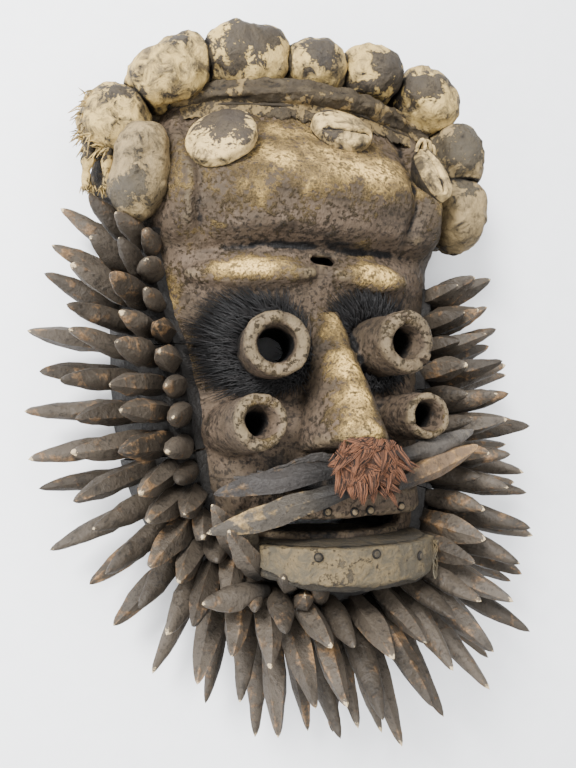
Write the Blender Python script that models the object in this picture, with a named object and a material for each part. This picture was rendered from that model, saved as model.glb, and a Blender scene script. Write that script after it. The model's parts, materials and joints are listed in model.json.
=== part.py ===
# Guere mask lying face up on its back rim: a hollow carved face with four tubular eyes,
# a headdress of stuffed hide pods and a beard of wooden spikes.
# X is the viewer's right, Y runs to the crown, Z comes out of the face. Metres.

import math

import bmesh
import bpy
from mathutils import Matrix, Vector

GAP = 0.0003  # left between pieces that touch
FLAT_WITHIN = 0.6  # degrees between faces that count as one flat face

# Carved shell
HALF_WIDTH = 0.115
MIDDLE_Y = 0.040  # the widest line, at the temples
CROWN_LENGTH = 0.170  # from the widest line to the crown
CHIN_LENGTH = 0.182  # from the widest line to the chin
CROWN_SQUARENESS = 4.0  # of the outline: 2 is an ellipse
CHIN_SQUARENESS = 2.9
CROWN_ROUNDNESS = 0.38  # of the cross-section: 0.5 is an ellipse
CHIN_ROUNDNESS = 0.57
JAW_SHIFT = 0.011  # by which the chin lies off the midline, to the viewer's right
FACE_DEPTH = 0.118  # back rim to the base of the upper lip
WALL = 0.009

# Height of the midline as a share of FACE_DEPTH, against the share of the way to the crown (+1) or chin (-1)
MIDLINE = (
    (-1.00, 0.62),
    (-0.93, 0.83),
    (-0.80, 0.98),
    (-0.60, 1.00),
    (-0.38, 0.93),
    (-0.20, 0.84),
    (0.02, 0.79),
    (0.20, 0.84),
    (0.28, 0.80),
    (0.38, 0.96),
    (0.50, 1.01),
    (0.62, 0.88),
    (0.76, 0.69),
    (0.90, 0.66),
    (1.00, 0.56),
)


def up(share):
    """Place on the midline at this share of the way from the widest line to the crown."""
    return MIDDLE_Y + share * CROWN_LENGTH


def down(share):
    """Place on the midline at this share of the way from the widest line to the chin."""
    return MIDDLE_Y - share * CHIN_LENGTH


# Hide-covered lobes that hang from the headdress at each side of the forehead
LOBE_X = 0.086
LOBE_TOP_Y = up(0.765)
LOBE_BOTTOM_Y = up(0.341)
LOBE_HALF_WIDTH = 0.015
LOBE_HEIGHT = 0.010

# Brows: middle, half length, half height and rise out of the face
BROW_Y = up(0.171)
BROW_HALF_HEIGHT = 0.0105
BROW_RISE = 0.010
LEFT_BROW_ENDS = (-0.084, -0.006)
RIGHT_BROW_ENDS = (0.006, 0.068)

# Tubular eyes: root on the face, rim offset from the root, radii
UPPER_TUBE_RADIUS = 0.019
UPPER_TUBE_BORE = 0.0122
LOWER_TUBE_RADIUS = 0.0165
LOWER_TUBE_BORE = 0.0110
TUBE_THROAT = 0.0070  # narrow end of a lower bore
TUBE_LENGTH = 0.048
TUBE_SINK = 0.016  # how far a tube's root lies below the face's surface

TUBES = {
    # root x, root y, rim's shift in x and y, rim radius, bore at the rim, bore at the throat
    "upper_left": (-0.034, down(0.110), -0.009, 0.001, UPPER_TUBE_RADIUS, UPPER_TUBE_BORE, 0.0102),
    "upper_right": (0.036, down(0.093), 0.005, 0.001, UPPER_TUBE_RADIUS, 0.0112, 0.0092),
    "lower_left": (-0.056, down(0.379), 0.004, 0.006, LOWER_TUBE_RADIUS, LOWER_TUBE_BORE, TUBE_THROAT),
    "lower_right": (0.053, down(0.341), -0.001, 0.002, 0.0145, 0.0100, TUBE_THROAT),
}

# Nose
NOSE_TOP_Y = up(0.012)
NOSE_TIP_Y = down(0.467)
NOSE_X = 0.006
NOSE_TOP_RADIUS = 0.009
NOSE_HALF_WIDTH = 0.030
NOSE_RISE = 0.044  # of the tip above the face

# Lips and mouth
LIP_HALF_WIDTH = 0.062
UPPER_LIP_Y = down(0.615)
UPPER_LIP_THICKNESS = 0.016
UPPER_LIP_RISE = 0.022
LOWER_LIP_Y = down(0.797)
LOWER_LIP_THICKNESS = 0.025
LOWER_LIP_RISE = 0.038
MOUTH_HALF_WIDTH = 0.047
MOUTH_HEIGHT = 0.010

# Slots cut through the face: middle, half width, half height
BROW_SLOT = (0.002, up(0.224), 0.0090, 0.0030)
BRIDGE_SLOT = (0.012, up(0.041), 0.0075, 0.0016)

# Headdress
COLLAR_FROM, COLLAR_TO = 31.0, 144.0  # degrees round the crown, from +X
COLLAR_THICKNESS = 0.026
COLLAR_TOP = 0.046
ROLL_RADIUS = 0.0085
ROLL_Y = up(0.882)
ROLL_REACH = 0.094  # from the midline to the band's left end
ROLL_SAG = 0.006  # by which its ends lie lower than its middle
POD_DEPTH = 0.056  # of a whole pod, back to front
PODS = (
    # name, direction from the middle in degrees, outwards from the rim, height, half sizes along and out
    ("temple_pod_left", 141.0, -0.003, 0.066, 0.027, 0.016),
    ("torn_pod", 131.0, 0.017, 0.046, 0.021, 0.020),
    ("crown_pod_1", 119.0, 0.007, 0.060, 0.026, 0.018),
    ("crown_pod_2", 104.0, 0.005, 0.062, 0.027, 0.018),
    ("crown_pod_3", 88.0, 0.005, 0.062, 0.021, 0.017),
    ("crown_pod_4", 74.0, 0.008, 0.061, 0.022, 0.016),
    ("crown_pod_5", 61.0, 0.012, 0.060, 0.021, 0.017),
    ("crown_pod_6", 49.0, 0.011, 0.059, 0.021, 0.016),
    ("temple_pod_right", 37.0, 0.007, 0.058, 0.024, 0.015),
)
DISC_RISE = 0.012
DISCS = (
    # name, middle on the face, half width, half height, lean of its face
    ("forehead_disc_left", -0.063, up(0.647), 0.023, 0.024, (-0.25, -0.1)),
    ("forehead_disc_middle", 0.017, up(0.729), 0.021, 0.018, (0.0, -0.1)),
    ("forehead_disc_right", 0.080, up(0.588), 0.013, 0.021, (0.1, -0.1)),
)

# Pegs that stick out sideways under the nose: root, rise above the upper lip, run to the tip, radius
WHISKERS = (
    ("whisker_upper_left", -0.006, down(0.495), 0.005, (-0.070, -0.014, -0.024), 0.0062),
    ("whisker_lower_left", -0.003, down(0.560), 0.010, (-0.078, -0.022, -0.024), 0.0074),
    ("whisker_upper_right", 0.024, down(0.473), 0.004, (0.073, 0.016, -0.026), 0.0062),
    ("whisker_lower_right", 0.024, down(0.549), 0.010, (0.070, 0.020, -0.026), 0.0066),
)

# Fur
NOSE_TUFT = (0.005, down(0.495), 0.042, 0.018, 0.020, 0.009)  # place on the face, rise, half sizes
EYE_HAIR_RISE = 0.010
EYE_HAIR = (
    ("eye_hair_left", -0.046, down(0.099), 0.034, 0.033),
    ("eye_hair_right", 0.043, down(0.077), 0.032, 0.032),
)

# Beard
BEARD_FROM, BEARD_TO = 153.0, 375.0  # degrees round the jaw, from the left temple to the right one
BEARD_BACK = 0.010  # height of the band's back edge above the floor
TEMPLE_REACH = 0.018  # how far the band's front edge lies inside the rim, at the temples and the chin
JAW_REACH = 0.036  # and beside the mouth
BEARD_CHIN_FRONT = 0.094  # most that the front edge climbs, under the chin
BEARD_THICKNESS = 0.009
BEARD_SECTORS = 8
SECTOR_MARGIN = 0.20  # degrees between a sector's end and the place where the next one starts
OUTER_SPIKES = 28
OUTER_START = 0.45  # how far along its own stretch of the jaw each outermost spike stands
SPIKES_PER_SECTOR = 4
ROW_STAGGER = 0.14  # by which a row is set on from the one before, as a share of the distance between spikes
CHIN_EXTRA_LENGTH = 0.025  # by which the spikes under the chin are longer
BEARD_FAN = 0.70  # how far the spikes at the temples lean to the crown
TEMPLE_SHORTER = 0.35  # share by which the spikes at the temples are shorter
CHIN_SIDE = 0.22  # share by which the spikes right of the chin are longer, and those left of it shorter
ROOT_SINK = 0.006  # how far a spike's root lies behind the face's wall, where the face cuts it off
BEARD_ROWS = (
    # root's share of the way up the band, lift from flat in degrees, length, radius at the belly
    (0.20, 15, 0.071, 0.0068),
    (0.54, 37, 0.070, 0.0075),
    (0.76, 53, 0.063, 0.0076),
    (0.90, 70, 0.050, 0.0072),
)

WOOD = (0.25, 0.20, 0.15)
HIDE = (0.46, 0.39, 0.29)
BARK = (0.20, 0.16, 0.12)


def clear_scene():
    for obj in list(bpy.data.objects):
        bpy.data.objects.remove(obj)


def new_collection(name, hidden=False):
    collection = bpy.data.collections.new(name)
    collection.hide_render = hidden
    bpy.context.scene.collection.children.link(collection)
    return collection


def new_material(name, colour, roughness):
    material = bpy.data.materials.new(name)
    material.use_nodes = True
    shader = material.node_tree.nodes["Principled BSDF"]
    shader.inputs["Base Color"].default_value = (*colour, 1.0)
    shader.inputs["Roughness"].default_value = roughness
    shader.inputs["Metallic"].default_value = 0.0
    return material


def new_object(name, shape, material=None):
    """The bmesh as an object in the mask's collection, or among the cutters without a material."""
    mesh = bpy.data.meshes.new(name)
    bmesh.ops.recalc_face_normals(shape, faces=shape.faces)
    shape.to_mesh(mesh)
    shape.free()
    obj = bpy.data.objects.new(name, mesh)
    (parts if material else cutters).objects.link(obj)
    if material:
        mesh.materials.append(material)
    else:
        obj.display_type = "WIRE"
        obj.hide_render = True
    return obj


def settle(obj):
    """Applies the object's modifiers, and joins the flat faces that a cut has split."""
    graph = bpy.context.evaluated_depsgraph_get()
    mesh = bpy.data.meshes.new_from_object(obj.evaluated_get(graph))
    obj.modifiers.clear()
    shape = bmesh.new()
    shape.from_mesh(mesh)
    bmesh.ops.dissolve_limit(
        shape, angle_limit=math.radians(FLAT_WITHIN), verts=shape.verts, edges=shape.edges
    )
    shape.to_mesh(mesh)
    shape.free()
    obj.data = mesh


def combine(obj, others, operation):
    """Joins each other object to this one, or cuts it away, and applies that."""
    for other in others:
        modifier = obj.modifiers.new(other.name, "BOOLEAN")
        modifier.operation = operation
        modifier.object = other
    settle(obj)
    return obj


def shade_round(obj, degrees=40):
    obj.data.shade_smooth()
    obj.data.set_sharp_from_angle(angle=math.radians(degrees))


def smooth_curve(knots, at):
    """Height at a place on the cubic curve through (place, height) knots."""
    for i in range(len(knots) - 1):
        if at <= knots[i + 1][0] or i == len(knots) - 2:
            break
    slopes = []
    for k in (i, i + 1):
        before, after = knots[max(k - 1, 0)], knots[min(k + 1, len(knots) - 1)]
        slopes.append((after[1] - before[1]) / (after[0] - before[0]))
    (x0, y0), (x1, y1) = knots[i], knots[i + 1]
    width = x1 - x0
    t = (at - x0) / width
    return (
        y0 * (1 + 2 * t) * (1 - t) ** 2
        + y1 * (3 - 2 * t) * t**2
        + slopes[0] * width * t * (1 - t) ** 2
        - slopes[1] * width * t**2 * (1 - t)
    )


def half_outline(y):
    """Length and squareness of the outline's half that this height lies in."""
    return (CROWN_LENGTH, CROWN_SQUARENESS) if y > MIDDLE_Y else (CHIN_LENGTH, CHIN_SQUARENESS)


def jaw_shift(y):
    return JAW_SHIFT * (max(MIDDLE_Y - y, 0.0) / CHIN_LENGTH) ** 2


def outline_point(degrees, outward=0.0):
    """Point of the shell's back rim in this direction from its middle, moved outwards, and the way out."""

    def rim(angle):
        c, s = math.cos(angle), math.sin(angle)
        length, square = half_outline(MIDDLE_Y + s)
        reach = (abs(c) / HALF_WIDTH) ** square + (abs(s) / length) ** square
        reach **= -1 / square
        y = MIDDLE_Y + reach * s
        return Vector((reach * c + jaw_shift(y), y, 0))

    angle, step = math.radians(degrees), 0.002
    along = (rim(angle + step) - rim(angle - step)).normalized()
    normal = Vector((along.y, -along.x, 0))
    return rim(angle) + normal * outward, normal


def face_height(x, y):
    """Height of the carved surface over a point inside the outline, before the features are added."""
    length, square = half_outline(y)
    share = min(abs(y - MIDDLE_Y) / length, 1.0)
    half_width = HALF_WIDTH * (1 - share**square) ** (1 / square)
    across = min(abs(x - jaw_shift(y)) / half_width, 1.0) if half_width > 0 else 1.0
    signed = share if y > MIDDLE_Y else -share
    upwards = min(max(0.25 + signed, 0.0), 1.0)
    roundness = CHIN_ROUNDNESS + (CROWN_ROUNDNESS - CHIN_ROUNDNESS) * upwards
    height = FACE_DEPTH * smooth_curve(MIDLINE, signed) * (1 - across**2) ** roundness
    along = max(y - LOBE_TOP_Y, LOBE_BOTTOM_Y - y, 0.0)
    distance = math.hypot(abs(x) - LOBE_X, along) / LOBE_HALF_WIDTH
    return height + LOBE_HEIGHT * math.exp(-(distance**2)) * min(1.0, height / LOBE_HEIGHT)


def on_face(x, y, above=0.0):
    return Vector((x, y, face_height(x, y) + above))


def face_normal(x, y, step=0.004):
    across = on_face(x + step, y) - on_face(x - step, y)
    along = on_face(x, y + step) - on_face(x, y - step)
    return across.cross(along).normalized()


def wall_point(degrees, height):
    """Point of the face's side wall at this height above its back, and the way out of the wall there."""
    low, high = -0.075, 0.0
    for _ in range(18):
        middle = (low + high) / 2
        place, _ = outline_point(degrees, middle)
        if face_height(place.x, place.y) > height:
            low = middle
        else:
            high = middle
    place, outwards = outline_point(degrees, high)
    inner, _ = outline_point(degrees, high - 0.008)
    rise = face_height(inner.x, inner.y) - height
    place.z = height
    return place, (outwards * max(rise, 0.0) + Vector((0, 0, 0.008))).normalized()


def shell_shape(cells_x, cells_y, smaller=0.0):
    """Closed dome over the mask's outline with a flat back. smaller moves its surface inwards."""
    shape = bmesh.new()
    bmesh.ops.create_grid(shape, x_segments=cells_x, y_segments=cells_y, size=1.0)
    for vert in shape.verts:
        a, b = vert.co.x, vert.co.y
        p, q = a * math.sqrt(1 - b * b / 2), b * math.sqrt(1 - a * a / 2)
        reach = math.hypot(p, q)
        if reach < 1e-9:
            p, q, reach = 1e-9, 0.0, 1e-9
        rim, _ = outline_point(math.degrees(math.atan2(q, p)))
        share = 1 - (1 - min(reach, 1.0)) ** 1.25
        y = MIDDLE_Y + (rim.y - MIDDLE_Y) * share
        x = (rim.x - jaw_shift(rim.y)) * share + jaw_shift(y)
        vert.co = on_face(x, y)
        if reach > 1 - 1e-6:
            vert.co.z = 0.0
        shrink = 1 - smaller / HALF_WIDTH, 1 - smaller / (CROWN_LENGTH + CHIN_LENGTH) * 2
        vert.co.x *= shrink[0]
        vert.co.y = MIDDLE_Y + (vert.co.y - MIDDLE_Y) * shrink[1]
        vert.co.z -= smaller
    rim_edges = [edge for edge in shape.edges if edge.is_boundary]
    below = bmesh.ops.extrude_edge_only(shape, edges=rim_edges)["geom"]
    lowered = [item for item in below if isinstance(item, bmesh.types.BMVert)]
    floor = -3 * smaller if smaller > 0 else 0.0
    if floor:
        for vert in lowered:
            vert.co.z = floor
    else:
        bmesh.ops.remove_doubles(shape, verts=shape.verts, dist=1e-7)
    bmesh.ops.contextual_create(shape, geom=[e for e in shape.edges if e.is_boundary])
    return shape


def pointing(direction, up=(0, 0, 1)):
    """Rotation that turns +Z to this direction and +X to the right of up."""
    z = Vector(direction).normalized()
    x = Vector(up).cross(z)
    if x.length < 1e-6:
        x = Vector((1, 0, 0))
    x.normalize()
    return Matrix((x, z.cross(x), z)).transposed().to_4x4()


def ball(centre, radii, turn=None, segments=12, rings=7, fullness=2.0):
    """Squashed ball. A fullness over 2 makes it plumper, nearer to a box with round edges."""
    shape = bmesh.new()
    bmesh.ops.create_uvsphere(shape, u_segments=segments, v_segments=rings, radius=1.0)
    for vert in shape.verts:
        size = sum(abs(c) ** fullness for c in vert.co) ** (1 / fullness)
        vert.co /= size
    place = Matrix.Translation(centre) @ (turn or Matrix.Identity(4)) @ Matrix.Diagonal((*radii, 1))
    bmesh.ops.transform(shape, matrix=place, verts=shape.verts)
    return shape


def peg(root, direction, length, radius, sides=6, rings=5, bend=0.0, grow=0.0):
    """Carved peg: swells to its belly past the middle and ends in a blunt point."""
    shape = bmesh.new()
    bmesh.ops.create_uvsphere(shape, u_segments=sides, v_segments=rings, radius=1.0)
    for vert in shape.verts:
        share = (vert.co.z + 1) / 2
        round_part = Vector((vert.co.x, vert.co.y, 0))
        swell = 0.62 + 0.38 * math.sin(math.pi * min(share * 0.85 + 0.1, 1.0))
        if round_part.length > 1e-6:
            round_end = min(1.0, 1.35 * math.sin(math.pi * share) ** 0.6)
            round_part *= (radius + grow) * swell * round_end / round_part.length
        vert.co = Vector((round_part.x, round_part.y + bend * length * share**2, length * share))
        vert.co.z += grow * (2 * share - 1)
    bmesh.ops.transform(shape, matrix=Matrix.Translation(root) @ pointing(direction), verts=shape.verts)
    return shape


def cone(start, end, start_radius, end_radius, segments=16, bevel=0.0, squash=1.0):
    """Cone or cylinder between two points. bevel rounds the rim at its end."""
    shape = bmesh.new()
    start, end = Vector(start), Vector(end)
    length = (end - start).length
    bmesh.ops.create_cone(
        shape, cap_ends=True, segments=segments, radius1=start_radius, radius2=end_radius, depth=length
    )
    if bevel:
        rim = [edge for edge in shape.edges if all(vert.co.z > 0 for vert in edge.verts)]
        bmesh.ops.bevel(
            shape, geom=rim, offset=bevel, segments=1, profile=0.5, affect="EDGES", material=-1
        )
    stretch = Matrix.Diagonal((1, squash, 1, 1))
    place = Matrix.Translation((start + end) / 2) @ pointing(end - start, (0, 1, 0)) @ stretch
    bmesh.ops.transform(shape, matrix=place, verts=shape.verts)
    return shape


def slab(centre_y, thickness, rise, half_width, grow=0.0):
    """Lip: an elliptical slab across the mouth, its front edge standing out of the face."""
    reach = 0.050 + grow
    middle_x = jaw_shift(centre_y)
    top = on_face(middle_x, centre_y).z + rise
    shape = bmesh.new()
    bmesh.ops.create_cone(
        shape, cap_ends=True, segments=20, radius1=1, radius2=1, depth=thickness + 2 * grow
    )
    place = (
        Matrix.Translation((middle_x, centre_y, top - reach + grow))
        @ Matrix.Rotation(math.radians(90), 4, "X")
        @ Matrix.Diagonal((half_width + grow, reach, 1, 1))
    )
    bmesh.ops.transform(shape, matrix=place, verts=shape.verts)
    edges = [e for e in shape.edges if len({round(v.co.y, 5) for v in e.verts}) == 1]
    bmesh.ops.bevel(
        shape, geom=edges, offset=thickness / 4, segments=1, profile=0.5, affect="EDGES", material=-1
    )
    return shape


def block(low, high):
    shape = bmesh.new()
    bmesh.ops.create_cube(shape, size=1.0)
    low, high = Vector(low), Vector(high)
    place = Matrix.Translation((low + high) / 2) @ Matrix.Diagonal((*(high - low), 1))
    bmesh.ops.transform(shape, matrix=place, verts=shape.verts)
    return shape


def spread(start, stop, steps):
    return [start + (stop - start) * i / steps for i in range(steps + 1)]


def ring_strip(directions, corners_at):
    """Loft round the shell's outline through the section that corners_at gives for each direction."""
    shape = bmesh.new()
    loops = [[shape.verts.new(corner) for corner in corners_at(degrees)] for degrees in directions]
    count = len(loops[0])
    for first, second in zip(loops, loops[1:]):
        for k in range(count):
            shape.faces.new((first[k], first[(k + 1) % count], second[(k + 1) % count], second[k]))
    shape.faces.new(loops[0])
    shape.faces.new(reversed(loops[-1]))
    bmesh.ops.triangulate(shape, faces=shape.faces)
    return shape


def tube_line(key):
    x, y, shift_x, shift_y = TUBES[key][:4]
    root = on_face(x, y)
    rim = root + Vector((shift_x, shift_y, TUBE_LENGTH))
    return root, rim


def feature_shapes(grow=0.0):
    """The carved features that stand out of the shell, as closed shapes to be joined to it."""
    for start, end in (LEFT_BROW_ENDS, RIGHT_BROW_ENDS):
        left, right = on_face(start, BROW_Y), on_face(end, BROW_Y)
        middle = (left + right) / 2
        crest = on_face(middle.x, BROW_Y)
        middle.z = (middle.z + crest.z) / 2
        radii = (BROW_HALF_HEIGHT + grow, BROW_RISE + grow, (right - left).length / 2 + grow)
        yield "brow", ball(middle, radii, pointing(right - left), 10, 8)
    for key in TUBES:
        root, rim = tube_line(key)
        axis = (rim - root).normalized()
        radius = TUBES[key][4]
        yield "tube", cone(
            root - axis * TUBE_SINK, rim + axis * grow, radius * 1.02 + grow, radius + grow, 14, 0.0035
        )
    top = on_face(NOSE_X, NOSE_TOP_Y)
    tip = on_face(NOSE_X, NOSE_TIP_Y, NOSE_RISE)
    depth = tip.z - on_face(NOSE_X, NOSE_TIP_Y).z + 0.010
    start = top - Vector((0, 0, NOSE_TOP_RADIUS))
    end = tip - Vector((0, 0, depth))
    yield "nose", cone(
        start, end, NOSE_TOP_RADIUS + grow, NOSE_HALF_WIDTH + grow, 16, 0.006, depth / NOSE_HALF_WIDTH
    )
    yield "upper_lip", slab(UPPER_LIP_Y, UPPER_LIP_THICKNESS, UPPER_LIP_RISE, LIP_HALF_WIDTH, grow)


def face_form(name, grow=0.0):
    """The face's outer form, solid to its back. grow makes the cutter that seats pieces on it."""
    shape = shell_shape(18, 26)
    bmesh.ops.triangulate(shape, faces=shape.faces)
    if grow:
        bmesh.ops.recalc_face_normals(shape, faces=shape.faces)
        shape.normal_update()
        for vert in shape.verts:
            vert.co += vert.normal * grow * 1.5
    form = new_object(name, shape)
    features = [new_object(f"{name}_{kind}", feature) for kind, feature in feature_shapes(grow)]
    combine(form, features, "UNION")
    for feature in features:
        bpy.data.objects.remove(feature)
    return form


def carved_face():
    face = face_form("carved_face")
    holes = [("hollow", shell_shape(12, 16, WALL))]
    for key in TUBES:
        root, rim = tube_line(key)
        axis = (rim - root).normalized()
        bore, throat = TUBES[key][5:]
        depth = TUBE_LENGTH * 0.35
        holes.append((f"{key}_mouth", cone(rim - axis * depth, rim + axis * 0.002, throat, bore, 12)))
        holes.append((f"{key}_bore", cone(root - axis * 0.03, rim - axis * depth * 0.9, throat, throat, 12)))
    mouth_top = UPPER_LIP_Y - UPPER_LIP_THICKNESS / 2
    mouth_x = jaw_shift(mouth_top)
    holes.append(
        (
            "mouth",
            block(
                (mouth_x - MOUTH_HALF_WIDTH, mouth_top - MOUTH_HEIGHT, FACE_DEPTH * 0.4),
                (mouth_x + MOUTH_HALF_WIDTH, mouth_top, FACE_DEPTH * 2),
            ),
        )
    )
    for name, (x, y, half_width, half_height) in (("brow_slot", BROW_SLOT), ("bridge_slot", BRIDGE_SLOT)):
        low = (x - half_width, y - half_height, face_height(x, y) - 3 * WALL)
        high = (x + half_width, y + half_height, face_height(x, y) + 3 * WALL)
        holes.append((name, block(low, high)))
    combine(face, [new_object(name, shape) for name, shape in holes], "DIFFERENCE")
    cutters.objects.unlink(face)
    parts.objects.link(face)
    face.data.materials.clear()
    face.data.materials.append(new_material("carved_wood", WOOD, 0.8))
    face.hide_render = False
    face.display_type = "TEXTURED"
    shade_round(face, 35)
    return face


def carried(name, shape, material, cut_by):
    """A piece cut back from what carries it and from its neighbours."""
    piece = new_object(name, shape, material)
    combine(piece, cut_by, "DIFFERENCE")
    shade_round(piece)
    return piece


def collar_corners(grow=0.0):
    section = (
        (-0.020, 0.002 - grow),
        (COLLAR_THICKNESS * 0.9 + grow, 0.004 - grow),
        (COLLAR_THICKNESS + grow, COLLAR_TOP - 0.010),
        (COLLAR_THICKNESS * 0.6 + grow, COLLAR_TOP + grow),
        (-0.020, COLLAR_TOP + 0.006 + grow),
    )

    def corners_at(degrees):
        return [outline_point(degrees, out)[0] + Vector((0, 0, height)) for out, height in section]

    return corners_at


def collar(material, seat):
    directions = spread(COLLAR_FROM, COLLAR_TO, 12)
    carried("headdress_collar", ring_strip(directions, collar_corners()), material, [seat])
    return new_object("collar_seat", ring_strip(directions, collar_corners(GAP)))


def roll_points():
    """Route of the rolled band over the crown, on the face and the collar."""
    steps = 11
    for i in range(steps + 1):
        x = -ROLL_REACH + 2.06 * ROLL_REACH * i / steps
        y = ROLL_Y - ROLL_SAG * abs(x / ROLL_REACH) ** 3
        yield Vector((x, y, max(face_height(x, y), COLLAR_TOP + 0.006) + ROLL_RADIUS * 0.7))
    yield Vector((ROLL_REACH * 1.13, ROLL_Y - 0.028, COLLAR_TOP + 0.010))


def tube_along(name, points, radius):
    """Round bar along the points, as a closed mesh."""
    curve = bpy.data.curves.new(name, "CURVE")
    curve.dimensions = "3D"
    curve.bevel_depth = radius
    curve.bevel_resolution = 2
    curve.use_fill_caps = True
    spline = curve.splines.new("POLY")
    spline.points.add(len(points) - 1)
    for slot, point in zip(spline.points, points):
        slot.co = (*point, 1)
    bar = bpy.data.objects.new(name, curve)
    cutters.objects.link(bar)
    graph = bpy.context.evaluated_depsgraph_get()
    mesh = bpy.data.meshes.new_from_object(bar.evaluated_get(graph))
    bpy.data.objects.remove(bar)
    shape = bmesh.new()
    shape.from_mesh(mesh)
    bmesh.ops.remove_doubles(shape, verts=shape.verts, dist=1e-6)
    return shape


def pod_shape(degrees, outward, height, half_along, half_out, grow=0.0):
    place, normal = outline_point(degrees, outward)
    place.z = height
    along = Vector((-normal.y, normal.x, 0))
    turn = Matrix((along, normal, Vector((0, 0, 1)))).transposed().to_4x4()
    radii = (half_along + grow, half_out + grow, POD_DEPTH / 2 + grow)
    return ball(place, radii, turn, 10, 6, 2.4)


def pods(material, cut_by):
    """The stuffed pods from the left temple round the crown to the right one, each cut back from the last."""
    seats = []
    for name, *sizes in PODS:
        carried(name, pod_shape(*sizes), material, cut_by + seats[-1:])
        seats.append(new_object(f"{name}_seat", pod_shape(*sizes, grow=GAP)))
    return [seats[0], seats[-1]]


def disc_shape(x, y, half_width, half_height, lean):
    normal = (face_normal(x, y) + Vector((*lean, 0))).normalized()
    turn = pointing(normal, (0, 1, 0))
    return ball(on_face(x, y, DISC_RISE * 0.3), (half_width, half_height, DISC_RISE), turn, 12, 7)


def whisker(x, y, rise, tip_shift, radius, grow=0.0):
    """Long peg under the nose, from its root on the midline to its tip at one side."""
    root = Vector((x, y, on_face(0, UPPER_LIP_Y, UPPER_LIP_RISE).z + rise))
    run = Vector(tip_shift)
    return peg(root, run, run.length, radius, 8, 6, 0.0, grow)


def hair_patch(x, y, half_width, half_height):
    turn = pointing(face_normal(x, y), (0, 1, 0))
    return ball(on_face(x, y), (half_width, half_height, EYE_HAIR_RISE), turn, 14, 6)


def beard_reach(degrees):
    """How far inside the rim the band's front edge lies in this direction."""
    beside_mouth = math.sin(2 * math.pi * (degrees - BEARD_FROM) / (BEARD_TO - BEARD_FROM)) ** 2
    return TEMPLE_REACH + (JAW_REACH - TEMPLE_REACH) * beside_mouth


def beard_height(degrees):
    """Height of the band's front edge: it climbs the chin, where the face's wall is tallest."""
    place, _ = outline_point(degrees, -beard_reach(degrees))
    return min(face_height(place.x, place.y), BEARD_CHIN_FRONT)


def beard_corners(grow=0.0):
    """Section of the hide band that holds the spikes; its inside is cut to the face afterwards."""

    def corners_at(degrees):
        front = beard_height(degrees)
        corners = []
        for share in (0.0, 0.5, 1.0):
            place, normal = wall_point(degrees, BEARD_BACK + (front - BEARD_BACK) * share)
            corners.append(place + normal * (BEARD_THICKNESS * (1 - 0.3 * share) + grow))
        corners[0].z = BEARD_BACK - grow
        inside, _ = outline_point(degrees, -beard_reach(degrees) - 0.014)
        corners.append(inside + Vector((0, 0, corners[-1].z - 0.002)))
        corners.append(inside + Vector((0, 0, BEARD_BACK)))
        return corners

    return corners_at


def beard_angle(share):
    """Direction, in degrees, at this share of the way round the jaw, measured along the band."""
    samples = 120
    angles = spread(BEARD_FROM, BEARD_TO, samples)
    lengths = [0.0]
    for first, second in zip(angles, angles[1:]):
        lengths.append(lengths[-1] + (outline_point(second)[0] - outline_point(first)[0]).length)
    wanted = share * lengths[-1]
    for i in range(samples):
        if lengths[i + 1] >= wanted:
            part = (wanted - lengths[i]) / (lengths[i + 1] - lengths[i])
            return angles[i] + (angles[i + 1] - angles[i]) * part
    return angles[-1]


def wander(number, phase):
    """Repeatable unevenness between -1 and 1."""
    return math.sin(number * 2.399 + phase) * 0.6 + math.sin(number * 5.13 + 2.7 * phase) * 0.4


def spike(row, share, number, sides=5, rings=3, grow=0.0):
    """One wooden spike of a row, at a share of the way round the jaw."""
    climb, lift, length, radius = BEARD_ROWS[row]
    degrees = beard_angle(share)
    root, _ = wall_point(degrees, BEARD_BACK + (beard_height(degrees) - BEARD_BACK) * climb)
    _, normal = outline_point(degrees)
    along = Vector((-normal.y, normal.x, 0))
    under_chin = math.exp(-(((share - 0.5) / 0.20) ** 2))
    towards_end = abs(2 * share - 1) ** 4
    fan = BEARD_FAN * towards_end * (-1 if share < 0.5 else 1) + 0.07 * wander(number, row)
    lift = math.radians(lift + 4 * wander(number, row + 4.1))
    flat = (normal + along * fan).normalized()
    direction = flat * math.cos(lift) + Vector((0, 0, math.sin(lift)))
    right_of_chin = math.exp(-(((share - 0.63) / 0.10) ** 2)) - math.exp(-(((share - 0.37) / 0.10) ** 2))
    length *= (1 + 0.10 * wander(number, row + 1.3)) * (1 - TEMPLE_SHORTER * towards_end)
    length += CHIN_EXTRA_LENGTH * under_chin * math.cos(lift)
    length *= 1 + CHIN_SIDE * right_of_chin
    radius *= 1 + 0.10 * wander(number, row + 2.2)
    bend = 0.05 * wander(number, row + 3.3)
    sunk = root - direction * ROOT_SINK
    return peg(sunk, direction, length + ROOT_SINK, radius, sides, rings, bend, grow)


def sector_form(name, sector, material=None, grow=0.0):
    """One sector of the band with the spikes of its inner rows, and the directions of its sections."""
    sector_share = 1 / BEARD_SECTORS
    start, stop = beard_angle(sector * sector_share), beard_angle((sector + 1) * sector_share)
    directions = spread(start + SECTOR_MARGIN, stop - SECTOR_MARGIN, 3)
    band = new_object(name, ring_strip(directions, beard_corners(grow)), material)
    spikes = []
    for row in range(1, len(BEARD_ROWS)):
        for k in range(SPIKES_PER_SECTOR):
            share = (sector + (k + 0.5 + ROW_STAGGER * (row - 2)) / SPIKES_PER_SECTOR) * sector_share
            number = sector * SPIKES_PER_SECTOR + k
            spikes.append(new_object("spike", spike(row, share, number, grow=grow)))
    combine(band, spikes, "UNION")
    for helper in spikes:
        bpy.data.objects.remove(helper)
    return band, directions


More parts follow.
